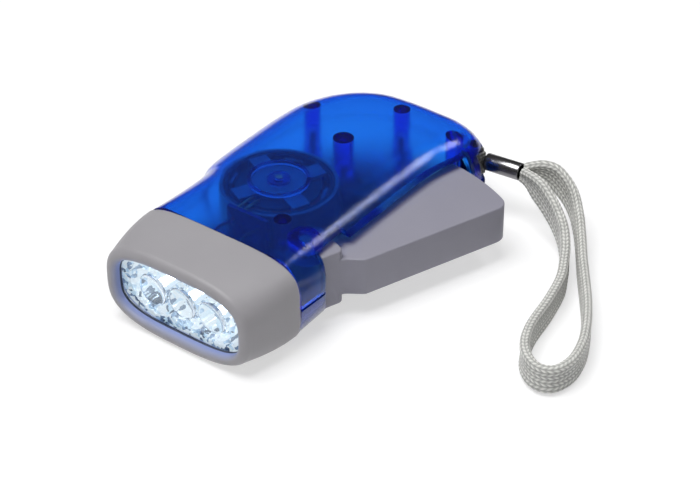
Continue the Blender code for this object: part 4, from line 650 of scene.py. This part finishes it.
def channel_form(wall):
    """The strap's channel, or with a wall the block that it is cut in."""
    outer = CHANNEL + wall
    back = arc(STRAP_POST, outer, 0, math.pi, CHANNEL_STEPS)
    outside = -NEAR_SIDE * 2
    points = [
        *back, (STRAP_POST.x - outer, outside), (STRAP_POST.x + outer + CHANNEL_FLARE, outside),
    ]
    return prism("channel", points, CHANNEL_LOW - wall, CHANNEL_HIGH + wall)


def channel_tool():
    post = disc(
        "post", STRAP_POST, STRAP_POST_RADIUS, CHANNEL_LOW - OVERRUN, CHANNEL_HIGH + OVERRUN)
    return cut(channel_form(0), post)


def shell_half(name, direction, bosses, pivot_boss):
    """One half: form, collar and bosses, less its hollow, its slot and the strap's channel."""
    shell = half_form(name, direction)
    front = SHELL_FRONT_X - SPIGOT_LENGTH
    collar = (SPIGOT_HALF_WIDTH, SPIGOT_HALF_HEIGHT, GAP / 2)
    join(shell, half_spigot("collar", direction, *collar, (front, SHELL_FRONT_X + FRONT_WALL / 2)))
    for place, radius, end, _ in bosses:
        if direction * (end - SEAM_Z) < 0:
            join(shell, disc("boss", place, radius, *ordered(end, SEAM_Z + direction * OVERRUN)))
    hollow = half_form("hollow", direction, WALL)
    near = (SHELL_FRONT_X - FRONT_OVERRUN, -2 * NEAR_SIDE, -OVERRUN)
    cut(hollow, box("front", near, (SHELL_FRONT_X + FRONT_WALL, 2 * NEAR_SIDE, HEIGHT + OVERRUN)))
    cut(hollow, channel_form(CHANNEL_WALL))
    for place, radius, end, skin in [*bosses, pivot_boss]:
        cut(hollow, disc("boss", place, radius, *ordered(end, skin)))
    cut(shell, hollow)
    ends = (front - OVERRUN, SHELL_FRONT_X + FRONT_WALL + OVERRUN)
    bore = (SPIGOT_HALF_WIDTH - SPIGOT_WALL, SPIGOT_HALF_HEIGHT - SPIGOT_WALL)
    cut(shell, half_spigot("bore", direction, *bore, -OVERRUN, ends))
    place, radius, end, skin = pivot_boss
    clear = disc("boss", place, radius + GAP, *ordered(end - direction * GAP, skin))
    cut(shell, slot_tool(direction), cut(notch_tool(direction), clear), channel_tool())
    return shell


def make_upper_shell():
    skin = HEIGHT - WALL + WALL / 2
    bosses = [(place, *UPPER_POST, skin) for place in SCREWS.values()]
    bosses.append((GENERATOR, *CENTRE_BOSS, skin))
    bosses.append((STEP_GEAR, *STEP_BOSS, skin))
    shell = shell_half("upper_shell_fine", 1, bosses, (PIVOT, *UPPER_PIVOT_BOSS, skin))
    inner, outer = RIB_RADII
    foot = CENTRE_BOSS[1]
    rib = [(outer, skin), (inner, skin), (inner, foot), (outer, foot)]
    join(shell, turned("rib", rib, GENERATOR))
    for place in SCREWS.values():
        cut(shell, disc("pilot", place, *PILOT))
    cut(shell, disc("hole", PIVOT, *UPPER_PIN_HOLE))
    cut(shell, disc("hole", GENERATOR, SCREW_RADIUS, CENTRE_HOLE_END, skin))
    cut(shell, disc("hole", STEP_GEAR, *STEP_HOLE))
    shade(mend(shell), SHELL_CREASE)
    return dress(shell, surfaces["clear_blue"], replaces=("upper_shell",))


def make_lower_shell():
    skin = WALL / 2
    bosses = [(place, AXLE_BOSS_RADIUS, top, skin) for place, top in AXLES]
    bosses += [(place, *LOWER_POST, skin) for place in SCREWS.values()]
    shell = shell_half("lower_shell_fine", -1, bosses, (PIVOT, *LOWER_PIVOT_BOSS, skin))
    for place in SCREWS.values():
        cut(shell, disc("recess", place, *RECESS), disc("hole", place, *THROUGH_HOLE))
    cut(shell, disc("hole", PIVOT, *LOWER_PIN_HOLE))
    for place, top in AXLES:
        cut(shell, disc("hole", place, SCREW_RADIUS, skin, top + OVERRUN))
    shade(mend(shell), SHELL_CREASE)
    return dress(shell, surfaces["clear_blue"], replaces=("lower_shell",))


# Head: half widths and half heights, and the power of each oblong

OPENING = (20.7, 9.5)
SEAT = (21.9, 10.7)
BORE = (23.7, 10.7)
LENS = (21.6, 10.4)
BEZEL_REAR = (26.5, 13.3)
BEZEL_FRONT = (24.1, 13.1)
BEZEL_MIDDLE = SEAM_Z + 0.3
REAR_POWER = 4.0
FRONT_POWER = 3.0
OPENING_POWER = 3.4
REAR_EDGE = 0.25
LIP_ROUND = 2.0
LIP_FALL = 1.6
LIP_DEPTH = 3.2
SHADE_DEPTH = 0.75
SEAT_LENGTH = 5.6
COLLAR_DEPTH = 7.8
PAINTED_LAMP_LIGHT_POWER = 1.5
SIDE_STEPS = 20
ROUND_STEPS = 12
LIP_STEPS = 10

# How many of the bezel's rings come before its painted lamp light on the lip, and before its
# painted shade
LIP_RINGS = SIDE_STEPS + ROUND_STEPS
OPENING_RINGS = LIP_RINGS + LIP_STEPS + 2

LENS_THICKNESS = 1.5
LENS_EDGE = 0.2
LENS_CREASE = 25
LENS_FRONT = FRONT_X + LIP_DEPTH + GAP
LENS_BACK = LENS_FRONT + LENS_THICKNESS
BEAD_RADIUS = 4.65
BEAD_HEIGHT = 1.3
BEAD_SEAT = 0.75
BEAD_STEPS = 12
REFLECTOR_DEPTH = 8.4
TRAY_CREASE = 30
REFLECTOR_FRONT = LENS_BACK + GAP
REFLECTOR_BACK = REFLECTOR_FRONT + REFLECTOR_DEPTH

# Rings of the reflector's tray: distance back, half width, half height and power
TRAY = (
    (0.0, *LENS, OPENING_POWER),
    (1.2, *LENS, OPENING_POWER),
    (6.6, 19.2, 8.2, 2.6),
    (REFLECTOR_DEPTH, 14.9, 4.9, 2.6),
)

# Cups, with the shares of the reflector's depth at which their rings stand
CUP_SHARES = (-0.24, 0.0, 0.02, 0.06, 0.12, 0.2, 0.3, 0.42, 0.56, 0.7, 0.85, 1.0, 1.24)
CUP_FLOOR = 2.8
CUP_SPREAD = 6.1
CUP_AROUND = 72

# Lamps, with the radius and height of the flange and of each of the core's rings
LAMP_BASE = REFLECTOR_BACK + 1.3
LAMP_FLANGE = (2.9, 1.0)
LAMP_RADIUS = 2.5
LAMP_SHOULDER = 6.1
LAMP_STEPS = 12
LAMP_AROUND = 40
CORE_AROUND = 16
LAMP_CORE = ((0.2, 2.0), (1.1, 2.6), (1.3, 3.4), (1.1, 4.2), (0.2, 4.8))


def make_bezel():
    """Its rings run from the rear edge forward, over the lip and back down the opening."""
    rings = []

    def ring(x, size, power, middle=SEAM_Z, inset=0.0):
        rings.append(oblong_ring(FRONT_X + x, size[0] - inset, size[1] - inset, power, middle))

    run = BEZEL_LENGTH - LIP_ROUND
    ring(BEZEL_LENGTH, BEZEL_REAR, REAR_POWER, BEZEL_MIDDLE, REAR_EDGE)
    for step in range(SIDE_STEPS, -1, -1):
        share = math.sin(math.pi / 2 * step / SIDE_STEPS)
        size = [mix(f, r, share) for f, r in zip(BEZEL_FRONT, BEZEL_REAR)]
        back = REAR_EDGE if step == SIDE_STEPS else 0
        power = mix(FRONT_POWER, REAR_POWER, share)
        ring(LIP_ROUND + run * step / SIDE_STEPS - back, size, power, BEZEL_MIDDLE)
    for step in range(1, ROUND_STEPS + 1):
        angle = math.pi / 2 * step / ROUND_STEPS
        inset = LIP_ROUND * (1 - math.cos(angle))
        ring(LIP_ROUND * (1 - math.sin(angle)), BEZEL_FRONT, FRONT_POWER, BEZEL_MIDDLE, inset)
    crest = [size - LIP_ROUND for size in BEZEL_FRONT]
    for step in range(1, LIP_STEPS + 1):
        angle = math.pi / 2 * step / LIP_STEPS
        left = 1 - math.sin(angle)
        size = [mix(o, c, left) for o, c in zip(OPENING, crest)]
        power = mix(OPENING_POWER, FRONT_POWER, left)
        ring(LIP_FALL * (1 - math.cos(angle)), size, power, mix(SEAM_Z, BEZEL_MIDDLE, left))
    ring(LIP_DEPTH - SHADE_DEPTH, OPENING, OPENING_POWER)
    ring(LIP_DEPTH, OPENING, OPENING_POWER)
    ring(LIP_DEPTH, SEAT, OPENING_POWER)
    ring(LIP_DEPTH + SEAT_LENGTH, SEAT, OPENING_POWER)
    ring(BEZEL_LENGTH - COLLAR_DEPTH, BORE, REAR_POWER)
    ring(BEZEL_LENGTH, BORE, REAR_POWER)
    bezel = loft("bezel_fine", rings, closed=True, crease=SOFT_CREASE)
    dress(bezel, surfaces["grey_plastic"], replaces=("bezel",))
    # The inner step's dark surface is painted shade
    bezel.data.materials.append(surfaces["lip_shade"])
    around = len(rings[0])
    # Painted lamp light: the glow rises from the lip to the inner step
    reach = bezel.data.attributes.new("glow", "FLOAT", "POINT")
    for i, row in enumerate(reach.data):
        share = (i // around - LIP_RINGS) / (OPENING_RINGS - LIP_RINGS)
        row.value = min(max(share, 0.0), 1.0)**PAINTED_LAMP_LIGHT_POWER
    wall = range(OPENING_RINGS, OPENING_RINGS + 2)
    for face in bezel.data.polygons:
        if face.index // around in wall:
            face.material_index = 1
    return bezel


def across_rings(profile, place, steps):
    """Rings about an axis along the torch, from pairs of place along it and radius."""
    rings = []
    for x, radius in profile:
        rings.append([(x, place + y, SEAM_Z + z) for y, z in circle((0, 0), radius, steps)])
    return rings


def make_lens():
    """The window with its three convex beads."""
    profile = (
        (LENS_FRONT, LENS_EDGE), (LENS_FRONT + LENS_EDGE, 0),
        (LENS_BACK - LENS_EDGE, 0), (LENS_BACK, LENS_EDGE),
    )
    lens = loft("lens_fine", [
        oblong_ring(x, LENS[0] - edge, LENS[1] - edge, OPENING_POWER) for x, edge in profile
    ])
    dome = [(LENS_FRONT + BEAD_SEAT, BEAD_RADIUS)]
    for angle in quarter(BEAD_STEPS):
        dome.append((LENS_FRONT - BEAD_HEIGHT * math.sin(angle), BEAD_RADIUS * math.cos(angle)))
    for side in (-1, 0, 1):
        join(lens, loft("bead", across_rings(dome, side * LED_PITCH, CUP_AROUND)))
    shade(lens, LENS_CREASE)
    return dress(lens, surfaces["clear_lens"], replaces=("lens",))


def make_reflector():
    """The tray with its three cups."""
    rings = [oblong_ring(REFLECTOR_FRONT + x, w, h, power) for x, w, h, power in TRAY]
    tray = loft("reflector_fine", rings)
    cup = []
    for share in CUP_SHARES:
        radius = CUP_FLOOR + CUP_SPREAD * math.sqrt(max(share, 0.0))
        cup.append((REFLECTOR_BACK - REFLECTOR_DEPTH * share, radius))
    for side in (-1, 0, 1):
        cut(tray, loft("cup", across_rings(cup, side * LED_PITCH, CUP_AROUND)))
    shade(tray, TRAY_CREASE)
    return dress(tray, surfaces["chrome"], replaces=("reflector",))


def make_leds():
    """Each lamp is its epoxy, with a flange and a dome, round a glowing core."""
    flange, thickness = LAMP_FLANGE
    profile = [(flange, 0.0), (flange, thickness), (LAMP_RADIUS, thickness)]
    for angle in quarter(LAMP_STEPS):
        rise = LAMP_SHOULDER + LAMP_RADIUS * math.sin(angle)
        profile.append((LAMP_RADIUS * math.cos(angle), rise))
    forward = [(LAMP_BASE - height, radius) for radius, height in profile]
    core = [(LAMP_BASE - height, radius) for radius, height in LAMP_CORE]
    for name, side in (("led_near", -1), ("led_middle", 0), ("led_far", 1)):
        lamp = loft(name + "_fine", across_rings(forward, side * LED_PITCH, LAMP_AROUND))
        dress(lamp, surfaces["lamp"], replaces=(name,))
        inner = loft(name + "_core", across_rings(core, side * LED_PITCH, CORE_AROUND))
        dress(inner, surfaces["lamp_core"], slot="lamp")


# Lever, in sizes from its pivot with the lever closed

LEVER_FACE = 10.1
LEVER_CORNER = 3.8
LEVER_CORNER_STEPS = 12
LEVER_STEPS = 32
LEVER_WALL = 1.8
LEVER_EDGE = 0.45
LEVER_CREASE = 40
LEVER_ENDS = (7.25, 18.75)
LEVER_HOLLOW_ENDS = (9.05, 16.95)
LEVER_HOLLOW_START = 14.4
LEVER_HOLLOW_FAR = 7.8
LEVER_HOLLOW_ANGLE = math.radians(18)
LEVER_HOLLOW_STEPS = 24
LEVER_INNER_ANGLE = math.radians(15)
LEVER_INNER = 8.1
LEVER_ROOT = 4.05
LEVER_ROOT_SIDES = (-6.2, 3.0)
LEVER_RAMP = (
    (6.3, -6.5),
    (8.2, -7.15),
    (10.6, -8.8),
    (12.3, -9.95),
    (13.4, -LEVER_FACE),
    (15.2, -LEVER_FACE),
)
RAMP_SAMPLES = 5

# Centre, quarter turns and radius of each of the hub's corners
HUB_CORNERS = ((6.3, 4.2, 0, 1.8), (3.0, 4.2, 1, 1.8), (1.6, -6.1, 2, 0.4), (6.3, -4.7, 3, 1.8))
HUB_ENDS = (4.5, 21.5)
HUB_STEPS = 8

# Round forms about the pivot, by radius and two ends
KNUCKLE = (5.4, 7, 19)
POCKET = (3.7, 9.5, 16.5)
LEVER_BORE = (1.8, 2.5, 23.5)
INSIDE_TEETH = (38.6, -5, 35)
INSIDE_STEPS = 96

MOUTH_FRONT = 7.4
MOUTH_DEPTH = 8
TEETH_REACH = 47
TEETH_SIDE = 8.2
TEETH_ENDS = (8.9, 12.1)

# The least cosine that a corner's mitre is divided by
MITRE = 0.3


def at_pivot(points):
    return [(PIVOT.x + u, PIVOT.y + w) for u, w in points]


def rounded_plate(name, points, bottom, top, radius, steps=4):
    """A flat piece with its outer edges rounded, from an outline that turns to the left."""
    count = len(points)
    places = [Vector(p) for p in points]

    def shrunk(distance):
        result = []
        for i in range(count):
            before = (places[i] - places[i - 1]).normalized()
            after = (places[(i + 1) % count] - places[i]).normalized()
            n1 = Vector((-before.y, before.x))
            n2 = Vector((-after.y, after.x))
            mid = n1 + n2
            mid = mid / max(mid.dot(n1), MITRE)
            result.append(places[i] + mid * distance)
        return result

    edge = []
    for step in range(steps + 1):
        angle = math.pi / 2 * step / steps
        edge.append((radius * (1 - math.sin(angle)), radius * (1 - math.cos(angle))))
    rings = [[(*p, bottom + rise) for p in shrunk(inset)] for inset, rise in edge]
    rings += [[(*p, top - rise) for p in shrunk(inset)] for inset, rise in reversed(edge)]
    return loft(name, rings, crease=SOFT_CREASE)


def lever_outline():
    face_end = math.sqrt(LEVER_RADIUS**2 - LEVER_FACE**2)
    start = (face_end - LEVER_CORNER, -LEVER_FACE)
    tip = (face_end, -LEVER_FACE)
    arc_start = -math.asin(LEVER_FACE / LEVER_RADIUS) + LEVER_CORNER / LEVER_RADIUS
    first = (LEVER_RADIUS * math.cos(arc_start), LEVER_RADIUS * math.sin(arc_start))
    rounding = []
    for i in range(LEVER_CORNER_STEPS):
        t = i / LEVER_CORNER_STEPS
        weights = ((1 - t)**2, 2 * t * (1 - t), t**2)
        rows = zip(start, tip, first)
        rounding.append(tuple(sum(w * v for w, v in zip(weights, row)) for row in rows))
    inner_start = LEVER_INNER / math.cos(LEVER_INNER_ANGLE)
    near_root, far_root = LEVER_ROOT_SIDES
    points = [(LEVER_ROOT, near_root), *smooth_path(LEVER_RAMP, RAMP_SAMPLES), *rounding]
    points += arc((0, 0), LEVER_RADIUS, arc_start, LEVER_INNER_ANGLE, LEVER_STEPS)
    points.append((
        inner_start * math.cos(LEVER_INNER_ANGLE), inner_start * math.sin(LEVER_INNER_ANGLE)))
    points.append((LEVER_ROOT, far_root))
    return at_pivot(points)


def hub_outline():
    points = []
    for u, w, turn, radius in HUB_CORNERS:
        points += arc((u, w), radius, turn * math.pi / 2, (turn + 1) * math.pi / 2, HUB_STEPS)
    return at_pivot(points)


def turn_lever(item):
    """The lever's pieces are drawn closed and turned open about the pivot."""
    pivot = Vector((PIVOT.x * MM, PIVOT.y * MM, 0))
    move = Matrix.Translation(pivot) @ Matrix.Rotation(-LEVER_TRAVEL, 4, "Z")
    item.data.transform(move @ Matrix.Translation(-pivot))
    return item


def make_lever():
    lever = rounded_plate("lever_fine", lever_outline(), *LEVER_ENDS, LEVER_EDGE)
    inside = LEVER_RADIUS - LEVER_WALL
    wall_line = LEVER_WALL - LEVER_FACE
    start = math.asin(wall_line / inside)
    rim = arc((0, 0), inside, start, LEVER_HOLLOW_ANGLE, LEVER_HOLLOW_STEPS)
    hollow = [(LEVER_HOLLOW_START, wall_line), *rim, (LEVER_HOLLOW_START, LEVER_HOLLOW_FAR)]
    cut(lever, prism("hollow", at_pivot(hollow), *LEVER_HOLLOW_ENDS))
    join(lever, rounded_plate("hub", hub_outline(), *HUB_ENDS, LEVER_EDGE))
    join(lever, disc("knuckle", PIVOT, *KNUCKLE))
    cut(lever, disc("pocket", PIVOT, *POCKET))
    radius, low, high = POCKET
    near = (PIVOT.x - MOUTH_FRONT, PIVOT.y, low)
    cut(lever, box("mouth", near, (PIVOT.x + radius, PIVOT.y + MOUTH_DEPTH, high)))
    cut(lever, disc("bore", PIVOT, *LEVER_BORE))
    shade(lever, LEVER_CREASE)
    return dress(turn_lever(lever), surfaces["lever_plastic"], lever_body, replaces=("lever",))


def clean_copy(node, suffix):
    """A node's own mesh with its doubled points merged, for smooth shading."""
    work = bmesh.new()
    work.from_mesh(nodes[node].data)
    bmesh.ops.remove_doubles(work, verts=work.verts, dist=SAME_POINT * MM)
    bmesh.ops.dissolve_limit(work, angle_limit=FLAT, verts=work.verts, edges=work.edges)
    mesh = bpy.data.meshes.new(f"{node}_{suffix}")
    work.to_mesh(mesh)
    work.free()
    item = bpy.data.objects.new(f"{node}_{suffix}", mesh)
    bpy.context.collection.objects.link(item)
    return item


def make_toothed_arc():
    """The lever's toothed arc, cut out of the node's own form, drawn near-black as painted shade.
    """
    teeth = clean_copy("lever", "arc")
    cut(teeth, turn_lever(disc("inner", PIVOT, *INSIDE_TEETH, INSIDE_STEPS)))
    low, high = TEETH_ENDS
    far = (PIVOT.x + TEETH_REACH, PIVOT.y + TEETH_REACH, high)
    keep = turn_lever(box("keep", (PIVOT.x, PIVOT.y - TEETH_SIDE, low), far))
    combine(teeth, keep, "INTERSECT")
    shade(teeth, CREASE)
    # The lever's grey plastic drawn in the dark gear surface: painted shade inside the case
    return dress(teeth, surfaces["gear_white"], lever_body, slot=slots_of["lever"])


# Strap

STRAP_ROUTE = (
    (49.4, -39.4, 15.7),
    (50.3, -41.2, 16.3),
    (51.3, -44.0, 16.4),
    (52.0, -47.4, 15.2),
    (51.5, -51.6, 12.8),
    (49.5, -55.6, 10.1),
    (45.5, -59.7, 7.7),
    (40.2, -63.8, 5.9),
    (32.5, -69.2, 5.0),
    (25.0, -74.7, 4.7),
    (16.6, -80.6, 4.7),
    (8.2, -85.5, 4.7),
    (1.2, -88.5, 4.7),
    (-6.0, -89.8, 4.7),
    (-11.8, -88.0, 4.7),
    (-12.8, -83.2, 4.7),
    (-8.5, -77.5, 4.7),
    (-0.1, -73.6, 4.7),
    (12.0, -71.3, 4.7),
    (22.0, -68.7, 4.7),
    (28.5, -65.7, 5.1),
    (33.8, -62.7, 6.3),
    (38.6, -58.8, 8.1),
    (42.1, -54.0, 10.5),
    (44.5, -48.8, 13.1),
    (46.1, -44.3, 14.8),
    (47.3, -40.9, 15.3),
    (47.4, -39.2, 15.5),
)
ROUTE_SAMPLES = 12
STRAP_WIDTH = 8.6
STRAP_THICKNESS = 2.8
# How far from its ends the strap narrows, and its share of the width there
STRAP_ENDS = (9.0, 0.35)
STRAP_STEP = 0.24
STRAP_AROUND = 72
BRAID_CREASE = 80
FOLD_SHARE = 0.1

# A stitch's length, a rib's width as a share of it, and how yarns lean, swell and stand out
STITCH = 1.35
RIB_SHARE = 0.85
LEAN = 0.9
WAVE_POWER = 0.5
RIB_POWER = 0.4
RELIEF = 0.2
RELIEF_LOW = -0.16

FERRULE_START = Vector((47.7, -27.4, 15.0))
FERRULE_END = Vector((48.3, -38.4, 15.5))
FERRULE_BORE = 2.05
FERRULE_RADIUS = 2.5
FERRULE_AROUND = 64
# The rounding of the ferrule's mouths, as radius and distance from the end
FERRULE_MOUTH = ((2.3, 0.0), (2.42, 0.05), (FERRULE_RADIUS, 0.2))
BIGHT_WIDTH = 7.4
BIGHT_THICKNESS = 1.1
BIGHT_RADIUS = 2.6
BIGHT_SWEEP = math.radians(125)
BIGHT_STEPS = 40
BIGHT_REACH = 1.1
BIGHT_SPREAD = 0.85


def flat_section(width, thickness, count):
    """Points round a flat tube's section with soft folds, as (across, out, way round)."""
    points = []
    half = (width - thickness) / 2
    radius = thickness / 2
    run = 4 * half + 2 * math.pi * radius
    for i in range(count):
        s = run * i / count
        if s < 2 * half:
            hollow = FOLD_SHARE * thickness * math.sin(math.pi * s / (2 * half))
            points.append((half - s, radius - hollow, s))
        elif s < 2 * half + math.pi * radius:
            a = (s - 2 * half) / radius
            points.append((-half - radius * math.sin(a), radius * math.cos(a), s))
        elif s < 4 * half + math.pi * radius:
            d = s - 2 * half - math.pi * radius
            hollow = FOLD_SHARE * thickness * math.sin(math.pi * d / (2 * half))
            points.append((-half + d, -radius + hollow, s))
        else:
            a = (s - 4 * half - math.pi * radius) / radius
            points.append((half + radius * math.sin(a), -radius * math.cos(a), s))
    return points


def resample(points, step):
    """Even steps along a path."""
    places = [Vector(p) for p in points]
    lengths = [0.0]
    for a, b in zip(places, places[1:]):
        lengths.append(lengths[-1] + (b - a).length)
    count = max(2, round(lengths[-1] / step))
    result = []
    j = 0
    for i in range(count + 1):
        goal = lengths[-1] * i / count
        while j < len(lengths) - 2 and lengths[j + 1] < goal:
            j += 1
        t = (goal - lengths[j]) / max(lengths[j + 1] - lengths[j], 1e-9)
        result.append(places[j].lerp(places[j + 1], t))
    return result, lengths[-1]


def narrowing(along, length, ends):
    """The share of the full width at a place along a tube that narrows to its ends."""
    if not ends:
        return 1.0
    reach, share = ends
    t = min(along, length - along, reach) / reach
    return share + (1 - share) * (3 * t**2 - 2 * t**3)


def stitch_relief(u, v):
    """How far a braid's yarns stand out: u counts ribs round the tube and v stitches along it."""
    lean = abs((u % 2) - 1)
    wave = math.cos(2 * math.pi * (v + lean * LEAN)) * 0.5 + 0.5
    rib = 0.5 - 0.5 * math.cos(2 * math.pi * u)
    return wave**WAVE_POWER * rib**RIB_POWER


def braid_tube(name, points, width, thickness, ends=None):
    """A flat braided tube standing on its edge: stitches are raised along its surface."""
    path, length = resample(points, STRAP_STEP)
    section = flat_section(width, thickness, STRAP_AROUND)
    half = (width - thickness) / 2
    run = 4 * (width - thickness) / 2 + math.pi * thickness
    columns = round(run / (STITCH * RIB_SHARE) / 2) * 2
    work = bmesh.new()
    uv = work.loops.layers.uv.new("braid")
    weave = work.verts.layers.float.new("weave")
    rows = []
    for i, place in enumerate(path):
        tangent = (path[min(i + 1, len(path) - 1)] - path[max(i - 1, 0)]).normalized()
        side = tangent.cross(Vector((0, 0, 1))).normalized()
        up = side.cross(tangent).normalized()
        along = length * i / (len(path) - 1)
        narrow = narrowing(along, length, ends)
        row = []
        for across, out, s in section:
            relief = stitch_relief(s / run * columns, along / STITCH)
            level = max(min(across, half), -half)
            offset = up * (across - level) + side * out
            outward = offset.normalized() if offset.length > 1e-6 else side
            lift = outward * (RELIEF * relief + RELIEF_LOW)
            vertex = work.verts.new(place + up * level * narrow + offset + lift)
            vertex[weave] = relief
            row.append(vertex)
        rows.append(row)
    for i in range(len(rows) - 1):
        for j in range(STRAP_AROUND):
            k = (j + 1) % STRAP_AROUND
            face = work.faces.new((rows[i][j], rows[i][k], rows[i + 1][k], rows[i + 1][j]))
            corners = ((i, j), (i, j + 1), (i + 1, j + 1), (i + 1, j))
            for loop, (a, b) in zip(face.loops, corners):
                along = a * length / (len(path) - 1)
                loop[uv].uv = (b / STRAP_AROUND * run / STITCH, along / STITCH)
    work.faces.new(rows[0])
    work.faces.new(rows[-1])
    return link(name, work, BRAID_CREASE), [p * MM for p in path], length * MM


def make_strap():
    route = smooth_path(STRAP_ROUTE, ROUTE_SAMPLES)
    strap, path, length = braid_tube(
        "wrist_strap_braid", route, STRAP_WIDTH, STRAP_THICKNESS, STRAP_ENDS)
    dress(strap, surfaces["braid"], replaces=("wrist_strap",))
    ferrule = make_ferrule()
    bight = make_bight()
    return strap


def make_ferrule():
    axis = FERRULE_END - FERRULE_START
    length = axis.length
    profile = [(FERRULE_BORE, 0.0), *FERRULE_MOUTH]
    profile += [(radius, length - distance) for radius, distance in reversed(FERRULE_MOUTH)]
    profile.append((FERRULE_BORE, length))
    ferrule = turned("strap_ferrule_fine", profile, (0, 0), FERRULE_AROUND)
    spin = axis.normalized().to_track_quat("Z", "Y").to_matrix().to_4x4()
    ferrule.data.transform(Matrix.Translation(FERRULE_START * MM) @ spin)
    return dress(ferrule, surfaces["nickel"], replaces=("strap_ferrule",))


def make_bight():
    """The strap's turn round its post, from the ferrule's mouth and back."""
    axis = (FERRULE_END - FERRULE_START).normalized()
    mouth = FERRULE_START - axis * BIGHT_REACH
    way = Vector((mouth.x, mouth.y)) - STRAP_POST
    heading = math.atan2(way.y, way.x)
    back = heading + math.pi
    turn = arc(STRAP_POST, BIGHT_RADIUS, back - BIGHT_SWEEP, back + BIGHT_SWEEP, BIGHT_STEPS)
    side = Vector((-math.sin(heading), math.cos(heading))) * BIGHT_SPREAD
    flat_mouth = Vector((mouth.x, mouth.y))
    first, last = flat_mouth - side, flat_mouth + side
    if (Vector(turn[0]) - last).length >= (Vector(turn[-1]) - last).length:
        turn.reverse()
    flat = [tuple(last), *turn, tuple(first)]
    points = [(x, y, mouth.z) for x, y in flat]
    bight = braid_tube("strap_bight_braid", points, BIGHT_WIDTH, BIGHT_THICKNESS)[0]
    # Its darker braid is painted shade
    return dress(bight, surfaces["braid_painted_shade"], replaces=("strap_bight",))


# Pieces that keep the part's own forms

MODELLED_HERE = {
    "upper_shell", "lower_shell", "bezel", "lens", "reflector", "led_near", "led_middle",
    "led_far", "lever", "wrist_strap", "strap_bight", "strap_ferrule",
}


def dress_inner_nodes():
    """Pieces inside the case keep the part's forms, with merged points and smooth rounds."""
    for node in sorted(nodes):
        if node in MODELLED_HERE:
            continue
        item = clean_copy(node, "fine")
        shade(item, CREASE)
        dress(item, surfaces[slots_of[node]], bodies_of[node], replaces=(node,))


# Stage

def make_world():
    """A dim grey room that the eye sees as white, straight on or through the clear plastic."""
    world = bpy.data.worlds.new("studio")
    world.use_nodes = True
    tree = world.node_tree
    tree.nodes.clear()
    path = tree.nodes.new("ShaderNodeLightPath")
    rays = tree.nodes.new("ShaderNodeMath")
    rays.operation = "MAXIMUM"
    shades = [tree.nodes.new("ShaderNodeBackground") for _ in range(2)]
    mixed = tree.nodes.new("ShaderNodeMixShader")
    out = tree.nodes.new("ShaderNodeOutputWorld")
    for shade_node, strength in zip(shades, (WORLD_LIGHT, 1.0)):
        shade_node.inputs["Color"].default_value = (1, 1, 1, 1)
        shade_node.inputs["Strength"].default_value = strength
    for i, kind in enumerate(("Is Camera Ray", "Is Transmission Ray")):
        tree.links.new(path.outputs[kind], rays.inputs[i])
        tree.links.new(shades[i].outputs[0], mixed.inputs[i + 1])
    tree.links.new(rays.outputs[0], mixed.inputs[0])
    tree.links.new(mixed.outputs[0], out.inputs["Surface"])
    bpy.context.scene.world = world


def floor_white():
    """White to bounced light; to the eye paler shadows, which stay dark under the clear case."""
    m = Nodes("floor_white")
    white = m.add("BsdfDiffuse", {"Color": FLOOR_WHITE})
    pale = m.add("BsdfDiffuse", {"Color": FLOOR_PALE})
    scales = tuple(1 / half for half in FOOTPRINT)
    shares = m.add("VectorMath", {0: m.place(), 1: (*scales, 0)}, operation="MULTIPLY")
    far = m.add("VectorMath", {0: shares.outputs["Vector"]}, operation="LENGTH")
    begins, full = FOOTPRINT_EDGE
    inputs = {
        "Value": far.outputs["Value"], "From Min": begins, "From Max": full,
        "To Min": 0.0, "To Max": FLOOR_GLOW,
    }
    under = m.add("MapRange", inputs, interpolation_type="SMOOTHSTEP")
    through = m.either("Is Transmission Ray")
    inputs = {"Factor": through, "A": FLOOR_GLOW, "B": under.outputs["Result"]}
    strength = m.add("Mix", inputs, data_type="FLOAT")
    bright = m.add("Emission", {"Strength": strength.outputs["Result"]})
    seen = m.add("AddShader", {0: pale.outputs[0], 1: bright.outputs[0]})
    rays = m.either("Is Camera Ray", "Is Glossy Ray", "Is Transmission Ray")
    return m.surface(m.blend(rays, white.outputs[0], seen.outputs[0]))


def aimed(name, data, place, aim):
    item = bpy.data.objects.new(name, data)
    bpy.context.collection.objects.link(item)
    item.location = Vector(place) * MM
    item.rotation_euler = (Vector(aim) - Vector(place)).to_track_quat("-Z", "Y").to_euler()
    return item


def make_stage():
    work = bmesh.new()
    half = FLOOR_HALF
    corners = ((-half, -half), (half, -half), (half, half), (-half, half))
    work.faces.new([work.verts.new((x, y, FLOOR_Z)) for x, y in corners])
    floor = link("floor", work)
    floor.data.materials.append(floor_white())
    make_world()
    for name, place, aim, size, power in LIGHTS:
        data = bpy.data.lights.new(name, "AREA")
        data.shape = "RECTANGLE"
        data.size, data.size_y = size
        data.energy = power
        aimed(name, data, place, aim)


def make_camera():
    data = bpy.data.cameras.new("camera")
    data.lens = CAMERA_LENS
    data.sensor_width = SENSOR_WIDTH
    data.clip_end = CLIP_END
    bpy.context.scene.camera = aimed("camera", data, CAMERA_PLACE, CAMERA_TARGET)


make_camera()
make_strap()
make_upper_shell()
make_lower_shell()
make_bezel()
make_lens()
make_reflector()
make_leds()
make_lever()
make_toothed_arc()
dress_inner_nodes()
make_stage()
bpy.context.scene.view_settings.view_transform = "Standard"
bpy.context.scene.cycles.transparent_max_bounces = 32
